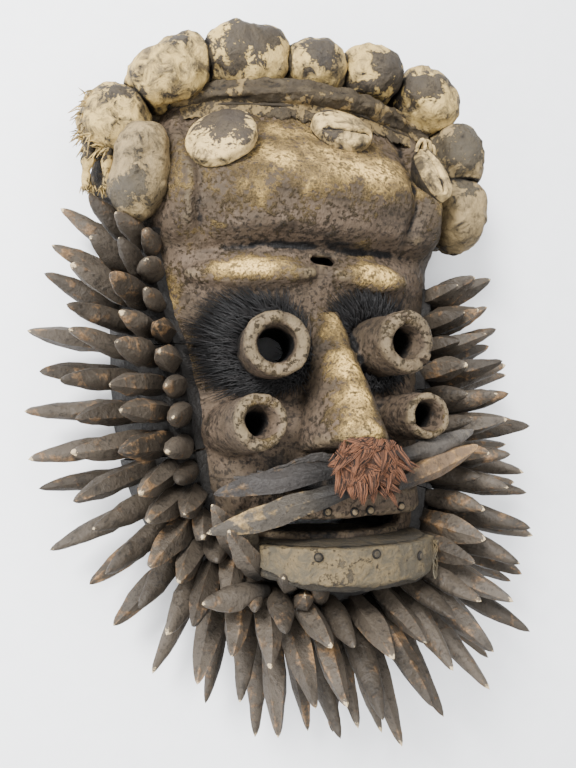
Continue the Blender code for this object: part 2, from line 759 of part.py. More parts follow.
def beard(material, face_seat, temple_seats):
    """The band in sectors, each with the spikes of the inner rows, and the outermost row spike by spike."""
    end_seats = {0: temple_seats[:1], BEARD_SECTORS - 1: temple_seats[1:]}
    ring_directions = []
    sector_seats = []
    for sector in range(BEARD_SECTORS):
        band, directions = sector_form(f"beard_{sector + 1}", sector, material)
        ring_directions += directions
        combine(band, [face_seat, *end_seats.get(sector, ()), *sector_seats[-1:]], "DIFFERENCE")
        shade_round(band)
        sector_seats.append(sector_form(f"beard_{sector + 1}_seat", sector, grow=GAP)[0])
    ring_directions = [BEARD_FROM, *ring_directions, BEARD_TO]
    ring = new_object("beard_seat", ring_strip(ring_directions, beard_corners(GAP * 1.5)))
    for number in range(OUTER_SPIKES):
        share = (number + OUTER_START) / OUTER_SPIKES
        sector = int(share * BEARD_SECTORS)
        near = sector_seats[max(sector - 1, 0) : sector + 2]
        carried(f"outer_spike_{number + 1:02d}", spike(0, share, number, 5, 4), material, [ring, *near])


def centre_on_floor():
    """Moves every piece so that the middle of the mask's box is over the origin and its back lies at zero."""
    corners = [obj.matrix_world @ vert.co for obj in parts.objects for vert in obj.data.vertices]
    low = [min(corner[i] for corner in corners) for i in range(3)]
    high = [max(corner[i] for corner in corners) for i in range(3)]
    shift = Vector((-(low[0] + high[0]) / 2, -(low[1] + high[1]) / 2, -low[2]))
    anchor = bpy.data.objects.new("mask_anchor", None)
    parts.objects.link(anchor)
    anchor.location = shift
    for obj in parts.objects:
        if obj is not anchor:
            obj.parent = anchor


clear_scene()
parts = new_collection("guere_mask")
cutters = new_collection("cutters", hidden=True)
hide = new_material("hide", HIDE, 0.85)
spike_wood = new_material("spike_wood", BARK, 0.75)
black_hair = new_material("black_hair", (0.02, 0.02, 0.02), 0.9)
brown_fur = new_material("brown_fur", (0.22, 0.11, 0.06), 0.9)

seat_on_face = face_form("seat_on_face", GAP)
carved_face()
collar_seat = collar(hide, seat_on_face)

roll = list(roll_points())
carried("rolled_band", tube_along("roll", roll, ROLL_RADIUS), hide, [seat_on_face, collar_seat])
roll_seat = new_object("roll_seat", tube_along("roll_seat", roll, ROLL_RADIUS + GAP))
for disc_name, *disc in DISCS:
    carried(disc_name, disc_shape(*disc), hide, [seat_on_face, roll_seat])
temple_seats = pods(hide, [seat_on_face, collar_seat, roll_seat])

lower_lip = slab(LOWER_LIP_Y, LOWER_LIP_THICKNESS, LOWER_LIP_RISE, LIP_HALF_WIDTH)
carried("lower_lip", lower_lip, hide, [seat_on_face])
lip_seat = new_object("lip_seat", slab(LOWER_LIP_Y, LOWER_LIP_THICKNESS, LOWER_LIP_RISE, LIP_HALF_WIDTH, GAP))
combine(seat_on_face, [lip_seat], "UNION")
whisker_seats = []
for whisker_name, *whisker_sizes in WHISKERS:
    carried(whisker_name, whisker(*whisker_sizes), spike_wood, [seat_on_face, *whisker_seats])
    whisker_seats.append(new_object(f"{whisker_name}_seat", whisker(*whisker_sizes, grow=GAP)))
tuft = ball(on_face(*NOSE_TUFT[:2], NOSE_TUFT[2]), NOSE_TUFT[3:], None, 12, 7)
carried("nose_tuft", tuft, brown_fur, [seat_on_face] + whisker_seats)
for hair_name, *hair in EYE_HAIR:
    carried(hair_name, hair_patch(*hair), black_hair, [seat_on_face])

beard(spike_wood, seat_on_face, temple_seats)
centre_on_floor()
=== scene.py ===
import json
import math
import random

import bmesh
import bpy
from mathutils import Matrix, Vector, noise

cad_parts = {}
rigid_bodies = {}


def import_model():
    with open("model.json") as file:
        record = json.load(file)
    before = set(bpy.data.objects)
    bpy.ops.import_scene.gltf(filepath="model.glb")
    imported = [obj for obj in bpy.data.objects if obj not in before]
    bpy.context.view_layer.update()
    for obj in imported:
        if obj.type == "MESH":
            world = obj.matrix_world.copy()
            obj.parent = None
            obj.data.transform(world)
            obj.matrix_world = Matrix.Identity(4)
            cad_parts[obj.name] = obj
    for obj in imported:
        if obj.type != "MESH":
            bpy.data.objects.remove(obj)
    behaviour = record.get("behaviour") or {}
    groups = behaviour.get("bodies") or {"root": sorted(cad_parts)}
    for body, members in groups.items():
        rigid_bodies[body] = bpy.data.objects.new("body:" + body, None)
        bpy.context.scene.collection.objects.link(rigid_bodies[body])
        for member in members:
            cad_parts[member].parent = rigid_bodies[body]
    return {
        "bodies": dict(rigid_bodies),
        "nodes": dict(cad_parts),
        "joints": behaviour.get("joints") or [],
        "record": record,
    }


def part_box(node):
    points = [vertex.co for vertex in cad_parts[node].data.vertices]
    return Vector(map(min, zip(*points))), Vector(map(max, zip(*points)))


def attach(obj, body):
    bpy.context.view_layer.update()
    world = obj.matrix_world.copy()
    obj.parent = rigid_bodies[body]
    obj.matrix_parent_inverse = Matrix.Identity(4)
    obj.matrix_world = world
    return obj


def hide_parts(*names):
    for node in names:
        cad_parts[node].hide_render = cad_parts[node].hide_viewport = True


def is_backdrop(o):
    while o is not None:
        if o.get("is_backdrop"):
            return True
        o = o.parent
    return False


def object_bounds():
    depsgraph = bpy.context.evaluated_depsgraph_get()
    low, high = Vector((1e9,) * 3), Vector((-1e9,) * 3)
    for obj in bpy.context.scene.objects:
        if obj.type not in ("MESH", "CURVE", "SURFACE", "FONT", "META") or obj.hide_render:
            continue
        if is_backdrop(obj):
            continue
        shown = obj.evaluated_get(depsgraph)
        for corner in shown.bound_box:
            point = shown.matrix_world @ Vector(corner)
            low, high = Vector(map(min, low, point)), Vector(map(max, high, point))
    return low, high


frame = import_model()
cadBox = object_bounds()

# Everything is measured from the middle of the face, as it is carved: X to the viewer's right,
# Y to the crown, Z out of the face. The CAD model is centred over the floor, so it lies a little aside.
face = {
    "halfWidth": 0.115,
    "middleY": 0.040,
    "crownLength": 0.170,
    "chinLength": 0.182,
    "crownSquareness": 4.0,
    "chinSquareness": 2.9,
    "crownRoundness": 0.38,
    "chinRoundness": 0.57,
    "jawShift": 0.011,
    "depth": 0.118,
    "wall": 0.009,
    # height of the midline against the share of the way to the crown (+1) or the chin (-1)
    "midline": (
        (-1.00, 0.62), (-0.93, 0.83), (-0.80, 0.98), (-0.60, 1.00), (-0.38, 0.93), (-0.20, 0.84),
        (0.02, 0.79), (0.20, 0.84), (0.28, 0.80), (0.38, 0.96), (0.50, 1.01), (0.62, 0.88),
        (0.76, 0.69), (0.90, 0.66), (1.00, 0.56),
    ),
    "lobeX": 0.086,
    "lobeTopY": 0.170,
    "lobeBottomY": 0.098,
    "lobeHalfWidth": 0.015,
    "lobeHeight": 0.010,
}
faceLow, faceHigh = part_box("carved_face")
shift = Vector((
    faceLow[0] + face["halfWidth"],
    faceHigh[1] - face["middleY"] - face["crownLength"],
    0.0,
))
print("frame loaded, the face's middle lies at", [round(c, 5) for c in shift])


# Form of the face

def smoothCurve(knots, at):
    # the cubic curve through (place, height) knots
    for i in range(len(knots) - 1):
        if at <= knots[i + 1][0] or i == len(knots) - 2:
            break
    slopes = []
    for k in (i, i + 1):
        before, after = knots[max(k - 1, 0)], knots[min(k + 1, len(knots) - 1)]
        slopes.append((after[1] - before[1]) / (after[0] - before[0]))
    (x0, y0), (x1, y1) = knots[i], knots[i + 1]
    width = x1 - x0
    t = (at - x0) / width
    return (
        y0 * (1 + 2 * t) * (1 - t) ** 2
        + y1 * (3 - 2 * t) * t**2
        + slopes[0] * width * t * (1 - t) ** 2
        - slopes[1] * width * t**2 * (1 - t)
    )


def halfOutline(y):
    # length and squareness of the half of the outline that this place is in
    half = "crown" if y > face["middleY"] else "chin"
    return face[half + "Length"], face[half + "Squareness"]


def jawShift(y):
    # how far the jaw leans aside at this place
    return face["jawShift"] * (max(face["middleY"] - y, 0.0) / face["chinLength"]) ** 2


def rimPoint(angle):
    # a point of the back rim in this direction, in radians
    c, s = math.cos(angle), math.sin(angle)
    length, square = halfOutline(face["middleY"] + s)
    reach = (abs(c) / face["halfWidth"]) ** square + (abs(s) / length) ** square
    reach **= -1 / square
    y = face["middleY"] + reach * s
    return Vector((reach * c + jawShift(y), y, 0))


def outlinePoint(degrees, outward=0.0):
    # a point of the back rim in this direction, moved outwards, and the way out
    angle, step = math.radians(degrees), 0.002
    along = (rimPoint(angle + step) - rimPoint(angle - step)).normalized()
    normal = Vector((along.y, -along.x, 0))
    return rimPoint(angle) + normal * outward, normal


def faceHeight(x, y):
    # height of the carved surface, before its features
    length, square = halfOutline(y)
    share = min(abs(y - face["middleY"]) / length, 1.0)
    halfWidth = face["halfWidth"] * (1 - share**square) ** (1 / square)
    across = min(abs(x - jawShift(y)) / halfWidth, 1.0) if halfWidth > 0 else 1.0
    signed = share if y > face["middleY"] else -share
    upwards = min(max(0.25 + signed, 0.0), 1.0)
    chin, crown = face["chinRoundness"], face["crownRoundness"]
    roundness = chin + (crown - chin) * upwards
    height = face["depth"] * smoothCurve(face["midline"], signed) * (1 - across**2) ** roundness
    along = max(y - face["lobeTopY"], face["lobeBottomY"] - y, 0.0)
    distance = math.hypot(abs(x) - face["lobeX"], along) / face["lobeHalfWidth"]
    lobe = face["lobeHeight"]
    return height + lobe * math.exp(-(distance**2)) * min(1.0, height / lobe)


def onFace(x, y, above=0.0):
    return Vector((x, y, faceHeight(x, y) + above))


def faceNormal(x, y, step=0.004):
    across = onFace(x + step, y) - onFace(x - step, y)
    along = onFace(x, y + step) - onFace(x, y - step)
    return across.cross(along).normalized()


def wallPoint(degrees, height):
    # the face's side wall at this height above its back, and the way out of the wall there
    low, high = -0.075, 0.0
    for _ in range(18):
        middle = (low + high) / 2
        place, _ = outlinePoint(degrees, middle)
        if faceHeight(place.x, place.y) > height:
            low = middle
        else:
            high = middle
    place, outwards = outlinePoint(degrees, high)
    inner, _ = outlinePoint(degrees, high - 0.008)
    rise = faceHeight(inner.x, inner.y) - height
    place.z = height
    return place, (outwards * max(rise, 0.0) + Vector((0, 0, 0.008))).normalized()


def pointing(direction, up=(0, 0, 1)):
    # turns +Z to this direction
    z = Vector(direction).normalized()
    x = Vector(up).cross(z)
    if x.length < 1e-6:
        x = Vector((1, 0, 0))
    x.normalize()
    return Matrix((x, z.cross(x), z)).transposed().to_4x4()


# Materials

studioLight = 3.0


def paint(red, green, blue):
    # the surface colour that shows as this screen colour, 0 to 255, in the studio's light
    shown = [c / 255 for c in (red, green, blue)]
    middle = sum(shown) / 3
    shown = [max(middle + (c - middle) * 0.95, 0.004) for c in shown]
    lit = [((c + 0.055) / 1.055) ** 2.4 * (0.8 + 8 * max(c - 0.45, 0) ** 2) for c in shown]
    return tuple(value / studioLight for value in lit) + (1.0,)


class Amount:
    # a node's output that takes part in sums
    def __init__(self, finish, socket):
        self.finish, self.socket = finish, socket

    def calculate(self, operation, *values):
        settings = {"operation": operation}
        node = self.finish.add("ShaderNodeMath", settings, dict(enumerate(values)))
        return Amount(self.finish, node.outputs[0])

    def __add__(self, other):
        return self.calculate("ADD", self, other)

    def __radd__(self, other):
        return self.calculate("ADD", other, self)

    def __sub__(self, other):
        return self.calculate("SUBTRACT", self, other)

    def __rsub__(self, other):
        return self.calculate("SUBTRACT", other, self)

    def __mul__(self, other):
        return self.calculate("MULTIPLY", self, other)

    def between(self, low, high):
        # 0 at low and 1 at high, with soft ends
        inputs = {0: self, 1: low, 2: high, 3: 0.0, 4: 1.0}
        node = self.finish.add("ShaderNodeMapRange", {"interpolation_type": "SMOOTHSTEP"}, inputs)
        return Amount(self.finish, node.outputs[0])


class Finish:
    def __init__(self, name, **constants):
        self.material = bpy.data.materials.new(name)
        self.material.use_nodes = True
        self.tree = self.material.node_tree
        self.shader = self.tree.nodes["Principled BSDF"]
        for socket, value in constants.items():
            self.shader.inputs[socket.replace("_", " ")].default_value = value
        self.place = self.add("ShaderNodeTexCoord").outputs["Object"]

    def add(self, kind, settings=None, inputs=None):
        node = self.tree.nodes.new(kind)
        for key, value in (settings or {}).items():
            setattr(node, key, value)
        for key, value in (inputs or {}).items():
            value = value.socket if isinstance(value, Amount) else value
            if isinstance(value, bpy.types.NodeSocket):
                self.tree.links.new(value, node.inputs[key])
            else:
                node.inputs[key].default_value = value
        return node

    def stretched(self, x, y, z):
        node = self.add("ShaderNodeMapping", None, {"Vector": self.place, "Scale": (x, y, z)})
        return node.outputs[0]

    def noise(self, scale, detail=4.0, rough=0.55, distort=0.0, where=None):
        inputs = {
            "Vector": where or self.place, "Scale": scale, "Detail": detail,
            "Roughness": rough, "Distortion": distort,
        }
        return Amount(self, self.add("ShaderNodeTexNoise", None, inputs).outputs[0])

    def cells(self, scale):
        inputs = {"Vector": self.place, "Scale": scale}
        return Amount(self, self.add("ShaderNodeTexVoronoi", None, inputs).outputs[0])

    def attribute(self, name):
        node = self.add("ShaderNodeAttribute", {"attribute_name": name})
        return Amount(self, node.outputs["Fac"])

    def mix(self, amount, first, second):
        node = self.add("ShaderNodeMix", {"data_type": "RGBA"}, {0: amount, 6: first, 7: second})
        return node.outputs[2]

    def close(self, colour, roughness, bumps):
        normal = None
        for height, depth in bumps:
            inputs = {"Height": height, "Distance": depth, "Strength": 1.0}
            if normal:
                inputs["Normal"] = normal
            normal = self.add("ShaderNodeBump", None, inputs).outputs[0]
        links = self.tree.links
        links.new(colour, self.shader.inputs["Base Color"])
        links.new(roughness.socket, self.shader.inputs["Roughness"])
        links.new(normal, self.shader.inputs["Normal"])
        return self.material


def carvedWoodFinish():
    colours = {
        "deep": paint(48, 40, 30),
        "wood": paint(116, 98, 76),
        "grey": paint(150, 133, 112),
        "crust": paint(238, 218, 168),
        "crustWarm": paint(192, 174, 126),
        "soot": paint(27, 23, 21),
        "worn": paint(172, 160, 132),
    }
    finish = Finish("carvedWood", Specular_IOR_Level=0.25)
    broad = finish.noise(15, 5, 0.6)
    mottle = finish.noise(70, 6, 0.65, 0.4)
    fine = finish.noise(330, 5, 0.65)
    grain = finish.noise(60, 4, 0.6, 0.6, finish.stretched(5, 1, 5))
    streaks = finish.noise(55, 4, 0.6, 0.8, finish.stretched(0.35, 2.2, 1))
    pits = finish.cells(210)
    crust, soot, relief = finish.attribute("crust"), finish.attribute("soot"), finish.attribute("relief")
    colour = finish.mix((broad * 0.6 + mottle * 0.4).between(0.38, 0.62), colours["wood"], colours["grey"])
    colour = finish.mix(streaks.between(0.50, 0.68) * 0.55, colour, colours["deep"])
    colour = finish.mix((mottle * 0.6 + grain * 0.4).between(0.48, 0.64) * 0.45, colour, colours["deep"])
    flakes = (crust + (mottle - 0.5) * 1.3 + (fine - 0.5) * 1.6 + (broad - 0.5) * 0.5).between(0.26, 0.66)
    warm = (finish.noise(42, 4) * 0.6 + fine * 0.4).between(0.44, 0.58)
    pigment = finish.mix(warm, colours["crust"], colours["crustWarm"])
    colour = finish.mix(flakes * 0.9, colour, pigment)
    # paler on ridges: wear, and painted highlight
    colour = finish.mix(relief.between(0.42, 0.20) * (1 - soot) * 0.6, colour, colours["worn"])
    stains = (fine * 0.7 + mottle * 0.3).between(0.49, 0.57) * 0.76
    colour = finish.mix(stains, colour, colours["deep"])
    # dirt and painted shade: darker where soot and painted shade are marked, and in hollows
    dirtAndShade = soot + relief.between(0.56, 0.85) * 0.7 + (mottle - 0.5) * 0.9 + (fine - 0.5) * 0.3
    dirtAndShade = dirtAndShade.between(0.38, 0.80)
    colour = finish.mix(dirtAndShade, colour, colours["soot"])
    bumps = (
        (grain, 0.0010),
        (mottle + flakes * 0.45, 0.0018),
        (fine, 0.0006),
        (pits.between(0.0, 0.35), 0.0005),
    )
    return finish.close(colour, 0.60 + fine * 0.3 - dirtAndShade * 0.10, bumps)


def hideFinish(name, light, dark, dirtAmount=0.6):
    # stiff hide under cream pigment that flakes off a dark skin
    colours = {"cream": light, "tan": paint(156, 142, 106), "skin": dark, "dirt": paint(42, 35, 28)}
    finish = Finish(name, Specular_IOR_Level=0.28)
    broad = finish.noise(30, 5, 0.6, 0.4)
    mottle = finish.noise(110, 6, 0.7, 0.6)
    fine = finish.noise(430, 4, 0.6)
    bare, soot, relief = finish.attribute("bare"), finish.attribute("soot"), finish.attribute("relief")
    colour = finish.mix((mottle * 0.6 + broad * 0.4).between(0.42, 0.58), colours["cream"], colours["tan"])
    peeled = (bare + (broad - 0.5) * 1.0 + (mottle - 0.5) * 1.4 + (fine - 0.5) * 0.5).between(0.46, 0.54)
    worn = finish.mix(mottle.between(0.35, 0.75) * 0.45, colours["skin"], colours["tan"])
    colour = finish.mix(peeled * 0.96, colour, worn)
    specks = (fine * 0.5 + mottle * 0.5).between(0.53, 0.63)
    colour = finish.mix(specks * dirtAmount, colour, colours["dirt"])
    # dirt and painted shade: darker where soot and painted shade are marked, and in hollows
    dirtAndShade = (soot + relief.between(0.54, 0.85) * 0.7 + (mottle - 0.5) * 0.7).between(0.30, 0.88)
    colour = finish.mix(dirtAndShade * 0.95, colour, colours["dirt"])
    bumps = (
        (broad, 0.0025),
        (mottle - peeled * 0.5, 0.0022),
        (fine, 0.0005),
    )
    return finish.close(colour, 0.62 + fine * 0.28, bumps)


def spikeFinish(name, shaft, ash, worn, wornAndLitBias):
    # the first colour darkens specks and paints shade at the spikes' roots and on the band; the second is a
    # painted glint for the tips
    colours = {"root": paint(27, 22, 17), "chip": paint(226, 214, 190)}
    finish = Finish(name, Specular_IOR_Level=0.32)
    along, tone, edge = finish.attribute("along"), finish.attribute("tone"), finish.attribute("edge")
    broad = finish.noise(42, 4, 0.6)
    mottle = finish.noise(150, 5, 0.68, 0.3)
    fine = finish.noise(520, 4, 0.6)
    colour = finish.mix((broad * 0.6 + tone * 0.6).between(0.34, 0.80), shaft, ash)
    # the pale worn colour is wear and painted highlight, paler on the facets' edges and towards the tips
    wornAndLit = (broad - 0.5) * 1.3 + (mottle - 0.5) * 1.6 + edge * 0.15 + along * 0.20 + wornAndLitBias
    colour = finish.mix(wornAndLit.between(0.30, 0.70) * 0.88, colour, worn)
    dark = (mottle * 0.6 + fine * 0.4).between(0.48, 0.62)
    colour = finish.mix(dark * 0.6, colour, colours["root"])
    # painted shade: dark towards the root, where the spikes crowd
    shadedRoots = (along + (mottle - 0.5) * 0.35).between(0.46, 0.10)
    colour = finish.mix(shadedRoots * 0.92, colour, colours["root"])
    # painted glint at the very tips
    tipGlints = (along + (fine - 0.5) * 0.12 + (tone - 0.5) * 0.06).between(0.985, 1.0)
    colour = finish.mix(tipGlints * 0.7, colour, colours["chip"])
    bumps = ((broad, 0.002), (mottle, 0.0013), (fine, 0.0004))
    return finish.close(colour, 0.42 + mottle * 0.4, bumps)


def hairFinish(name, dark, light, roughness):
    finish = Finish(name, Specular_IOR_Level=0.30)
    tone = finish.attribute("tone")
    broad = finish.noise(120, 3, 0.5)
    colour = finish.mix((tone * 0.7 + broad * 0.3).between(0.25, 0.75), dark, light)
    return finish.close(colour, roughness + broad * 0.2, ((broad, 0.0004),))


finishes = {
    "face": carvedWoodFinish(),
    "pod": hideFinish("podHide", paint(216, 200, 156), paint(78, 74, 74)),
    "greyPod": hideFinish("greyPodHide", paint(188, 174, 142), paint(112, 104, 90)),
    "disc": hideFinish("discHide", paint(220, 204, 166), paint(72, 66, 68)),
    "roll": hideFinish("rollHide", paint(172, 156, 114), paint(86, 74, 58), 0.85),
    "lip": hideFinish("lipHide", paint(126, 116, 94), paint(88, 82, 72), 0.7),
    # each spike finish: shaft, ash, a pale colour for wear and painted highlight, and how much of it shows
    "spike": spikeFinish("spikeWood", paint(92, 80, 65), paint(130, 118, 101), paint(194, 170, 134), 0.04),
    "darkPeg": spikeFinish("darkPeg", paint(86, 80, 76), paint(106, 100, 94), paint(180, 158, 118), -0.02),
    "creamPeg": spikeFinish("creamPeg", paint(96, 86, 72), paint(122, 113, 100), paint(206, 188, 150), 0.10),
    "greyPeg": spikeFinish("greyPeg", paint(112, 106, 98), paint(136, 128, 118), paint(178, 170, 156), 0.05),
    "tanPeg": spikeFinish("tanPeg", paint(146, 124, 92), paint(160, 140, 110), paint(202, 178, 134), 0.22),
    "hair": hairFinish("blackHair", paint(12, 12, 14), paint(44, 40, 40), 0.5),
    "fur": hairFinish("brownFur", paint(54, 36, 24), paint(164, 122, 84), 0.7),
}
print(len(finishes), "finishes made")


# Making and placing pieces

def wobble(place, scale, seed=0.0, octaves=3):
    return noise.fractal((place + Vector((seed, seed * 1.7, -seed))) * scale, 1.0, 2.0, octaves)


def roughen(shape, depth, scale, seed=0.0, octaves=3):
    # moves the surface in and out along its normals
    shape.normal_update()
    moves = [(v, v.normal * depth * wobble(v.co, scale, seed, octaves)) for v in shape.verts]
    for vert, move in moves:
        vert.co += move


def ball(centre, radii, turn=None, segments=32, rings=20, fullness=2.0):
    # round at a fullness of 2, boxier above it
    shape = bmesh.new()
    bmesh.ops.create_uvsphere(shape, u_segments=segments, v_segments=rings, radius=1.0)
    for vert in shape.verts:
        vert.co /= sum(abs(c) ** fullness for c in vert.co) ** (1 / fullness)
    place = Matrix.Translation(centre) @ (turn or Matrix.Identity(4)) @ Matrix.Diagonal((*radii, 1))
    bmesh.ops.transform(shape, matrix=place, verts=shape.verts)
    return shape


def rounded(shape, edges, width):
    bmesh.ops.bevel(shape, geom=edges, offset=width, segments=3, profile=0.5, affect="EDGES", material=-1)


def cone(start, end, startRadius, endRadius, segments=40, bevel=0.0, squash=1.0):
    start, end = Vector(start), Vector(end)
    shape = bmesh.new()
    bmesh.ops.create_cone(
        shape, cap_ends=True, segments=segments, radius1=startRadius, radius2=endRadius,
        depth=(end - start).length,
    )
    if bevel:
        rounded(shape, [edge for edge in shape.edges if all(v.co.z > 0 for v in edge.verts)], bevel)
    stretch = Matrix.Diagonal((1, squash, 1, 1))
    place = Matrix.Translation((start + end) / 2) @ pointing(end - start, (0, 1, 0)) @ stretch
    bmesh.ops.transform(shape, matrix=place, verts=shape.verts)
    return shape


lentilReach = 0.050


def lentil(centreY, thickness, rise, halfWidth):
    # an elliptical slab across the mouth
    middleX = jawShift(centreY)
    top = onFace(middleX, centreY).z + rise
    shape = bmesh.new()
    bmesh.ops.create_cone(shape, cap_ends=True, segments=56, radius1=1, radius2=1, depth=thickness)
    place = (
        Matrix.Translation((middleX, centreY, top - lentilReach))
        @ Matrix.Rotation(math.radians(90), 4, "X")
        @ Matrix.Diagonal((halfWidth, lentilReach, 1, 1))
    )
    bmesh.ops.transform(shape, matrix=place, verts=shape.verts)
    rims = [edge for edge in shape.edges if len({round(v.co.y, 5) for v in edge.verts}) == 1]
    rounded(shape, rims, thickness / 4)
    return shape


def meshFrom(shape, name):
    mesh = bpy.data.meshes.new(name)
    shape.to_mesh(mesh)
    shape.free()
    return mesh


def helperObject(name, shape):
    bmesh.ops.recalc_face_normals(shape, faces=shape.faces)
    obj = bpy.data.objects.new(name, meshFrom(shape, name))
    bpy.context.scene.collection.objects.link(obj)
    return obj


def bake(obj):
    # the object's shape with its modifiers applied, as a bmesh; the object itself goes
    graph = bpy.context.evaluated_depsgraph_get()
    shape = bmesh.new()
    shape.from_mesh(bpy.data.meshes.new_from_object(obj.evaluated_get(graph)))
    bpy.data.objects.remove(obj)
    return shape


def cut(obj, helpers, operation):
    for helper in helpers:
        modifier = obj.modifiers.new(helper.name, "BOOLEAN")
        modifier.operation = operation
        modifier.object = helper
        modifier.solver = "EXACT"
    shape = bake(obj)
    for helper in helpers:
        bpy.data.objects.remove(helper)
    return shape


def remeshed(shape, voxel):
    obj = helperObject("remeshed", shape)
    modifier = obj.modifiers.new("Remesh", "REMESH")
    modifier.mode = "VOXEL"
    modifier.voxel_size = voxel
    return bake(obj)


def smoothed(shape, times):
    for _ in range(times):
        bmesh.ops.smooth_vert(
            shape, verts=shape.verts, factor=0.5, use_axis_x=True, use_axis_y=True, use_axis_z=True
        )


def block(low, high):
    shape = bmesh.new()
    bmesh.ops.create_cube(shape, size=1.0)
    low, high = Vector(low), Vector(high)
    place = Matrix.Translation((low + high) / 2) @ Matrix.Diagonal((*(high - low), 1))
    bmesh.ops.transform(shape, matrix=place, verts=shape.verts)
    return shape


def spread(start, stop, steps):
    return [start + (stop - start) * i / steps for i in range(steps + 1)]


def ringStrip(directions, cornersAt, shape=None):
    # sections round the outline, bridged into one closed strip
    shape = shape or bmesh.new()
    made, before = [], None
    for degrees in directions:
        corners = [shape.verts.new(corner) for corner in cornersAt(degrees)]
        loop = [shape.edges.new((a, b)) for a, b in zip(corners, corners[1:] + corners[:1])]
        if before:
            bmesh.ops.bridge_loops(shape, edges=before + loop)
        else:
            shape.faces.new(corners)
        made += corners
        before = loop
    shape.faces.new(made[-len(corners):])
    bmesh.ops.recalc_face_normals(shape, faces=shape.faces)
    return made


def tubeAlong(points, radii, resolution=5):
    # round bars, each along its points, as one bmesh
    curve = bpy.data.curves.new("route", "CURVE")
    curve.dimensions = "3D"
    curve.bevel_depth = 1.0
    curve.bevel_resolution = resolution
    curve.use_fill_caps = True
    for line, sizes in zip(points, radii):
        spline = curve.splines.new("POLY")
        spline.points.add(len(line) - 1)
        for slot, point, radius in zip(spline.points, line, sizes):
            slot.co = (*point, 1)
            slot.radius = radius
    obj = bpy.data.objects.new("route", curve)
    bpy.context.scene.collection.objects.link(obj)
    return bake(obj)


def finishPiece(node, shape, material, sharpFrom=None):
    # the piece that stands for this node, with edges sharper than this many degrees kept sharp
    name = "".join(word.capitalize() if i else word for i, word in enumerate(node.split("_")))
    bmesh.ops.transform(shape, matrix=Matrix.Translation(shift), verts=shape.verts)
    piece = bpy.data.objects.new(name, meshFrom(shape, name))
    bpy.context.scene.collection.objects.link(piece)
    piece.data.materials.append(finishes[material])
    piece.data.shade_smooth()
    if sharpFrom:
        piece.data.set_sharp_from_angle(angle=math.radians(sharpFrom))
    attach(piece, "root")
    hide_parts(node)
    return piece


def layer(shape, name):
    return shape.verts.layers.float.get(name) or shape.verts.layers.float.new(name)


def markRelief(shape, gain, passes=4):
    # 0 on ridges, 0.5 on flat places and 1 in hollows
    relief = layer(shape, "relief")
    shape.normal_update()
    shape.verts.index_update()
    near = [[edge.other_vert(vert).index for edge in vert.link_edges] for vert in shape.verts]
    places = [vert.co.copy() for vert in shape.verts]
    values = []
    for vert, others in zip(shape.verts, near):
        ways = [places[other] - vert.co for other in others]
        rise = sum(way.dot(vert.normal) / max(way.length, 1e-9) for way in ways)
        values.append(rise / max(len(ways), 1))
    for _ in range(passes):
        pairs = zip(values, near)
        values = [(value + sum(values[o] for o in others)) / (len(others) + 1) for value, others in pairs]
    for vert, value in zip(shape.verts, values):
        vert[relief] = min(max(0.5 + gain * value, 0.0), 1.0)


def mark(shape, **values):
    # the same values on every vertex
    for name, value in values.items():
        kept = layer(shape, name)
        for vert in shape.verts:
            vert[kept] = value


def addShape(shape, other, **values):
    # joins another bmesh to this one, with these values on its vertices
    mark(other, **values)
    mesh = meshFrom(other, "part")
    shape.from_mesh(mesh)
    bpy.data.meshes.remove(mesh)


def sheet(grid, thickness):
    # columns of points made a thin wall
    shape = bmesh.new()
    columns = [[shape.verts.new(point) for point in column] for column in grid]
    for first, second in zip(columns, columns[1:]):
        for k in range(len(first) - 1):
            shape.faces.new((first[k], first[k + 1], second[k + 1], second[k]))
    bmesh.ops.recalc_face_normals(shape, faces=shape.faces)
    bmesh.ops.solidify(shape, geom=list(shape.faces), thickness=thickness)
    bmesh.ops.recalc_face_normals(shape, faces=shape.faces)
    return shape


def patchAmount(place, patches):
    # the strongest of the patches at this place, each (centre, radii, strength)
    most = 0.0
    for centre, radii, strength in patches:
        gone = sum(((p - c) / r) ** 2 for p, c, r in zip(place, centre, radii))
        if gone < 6.0:
            most = max(most, strength * math.exp(-gone))
    return most


def bell(at, middle, width):
    return math.exp(-(((at - middle) / width) ** 2))


def step(at, low, high):
    t = min(max((at - low) / (high - low), 0.0), 1.0)
    return t * t * (3 - 2 * t)


# Carved face

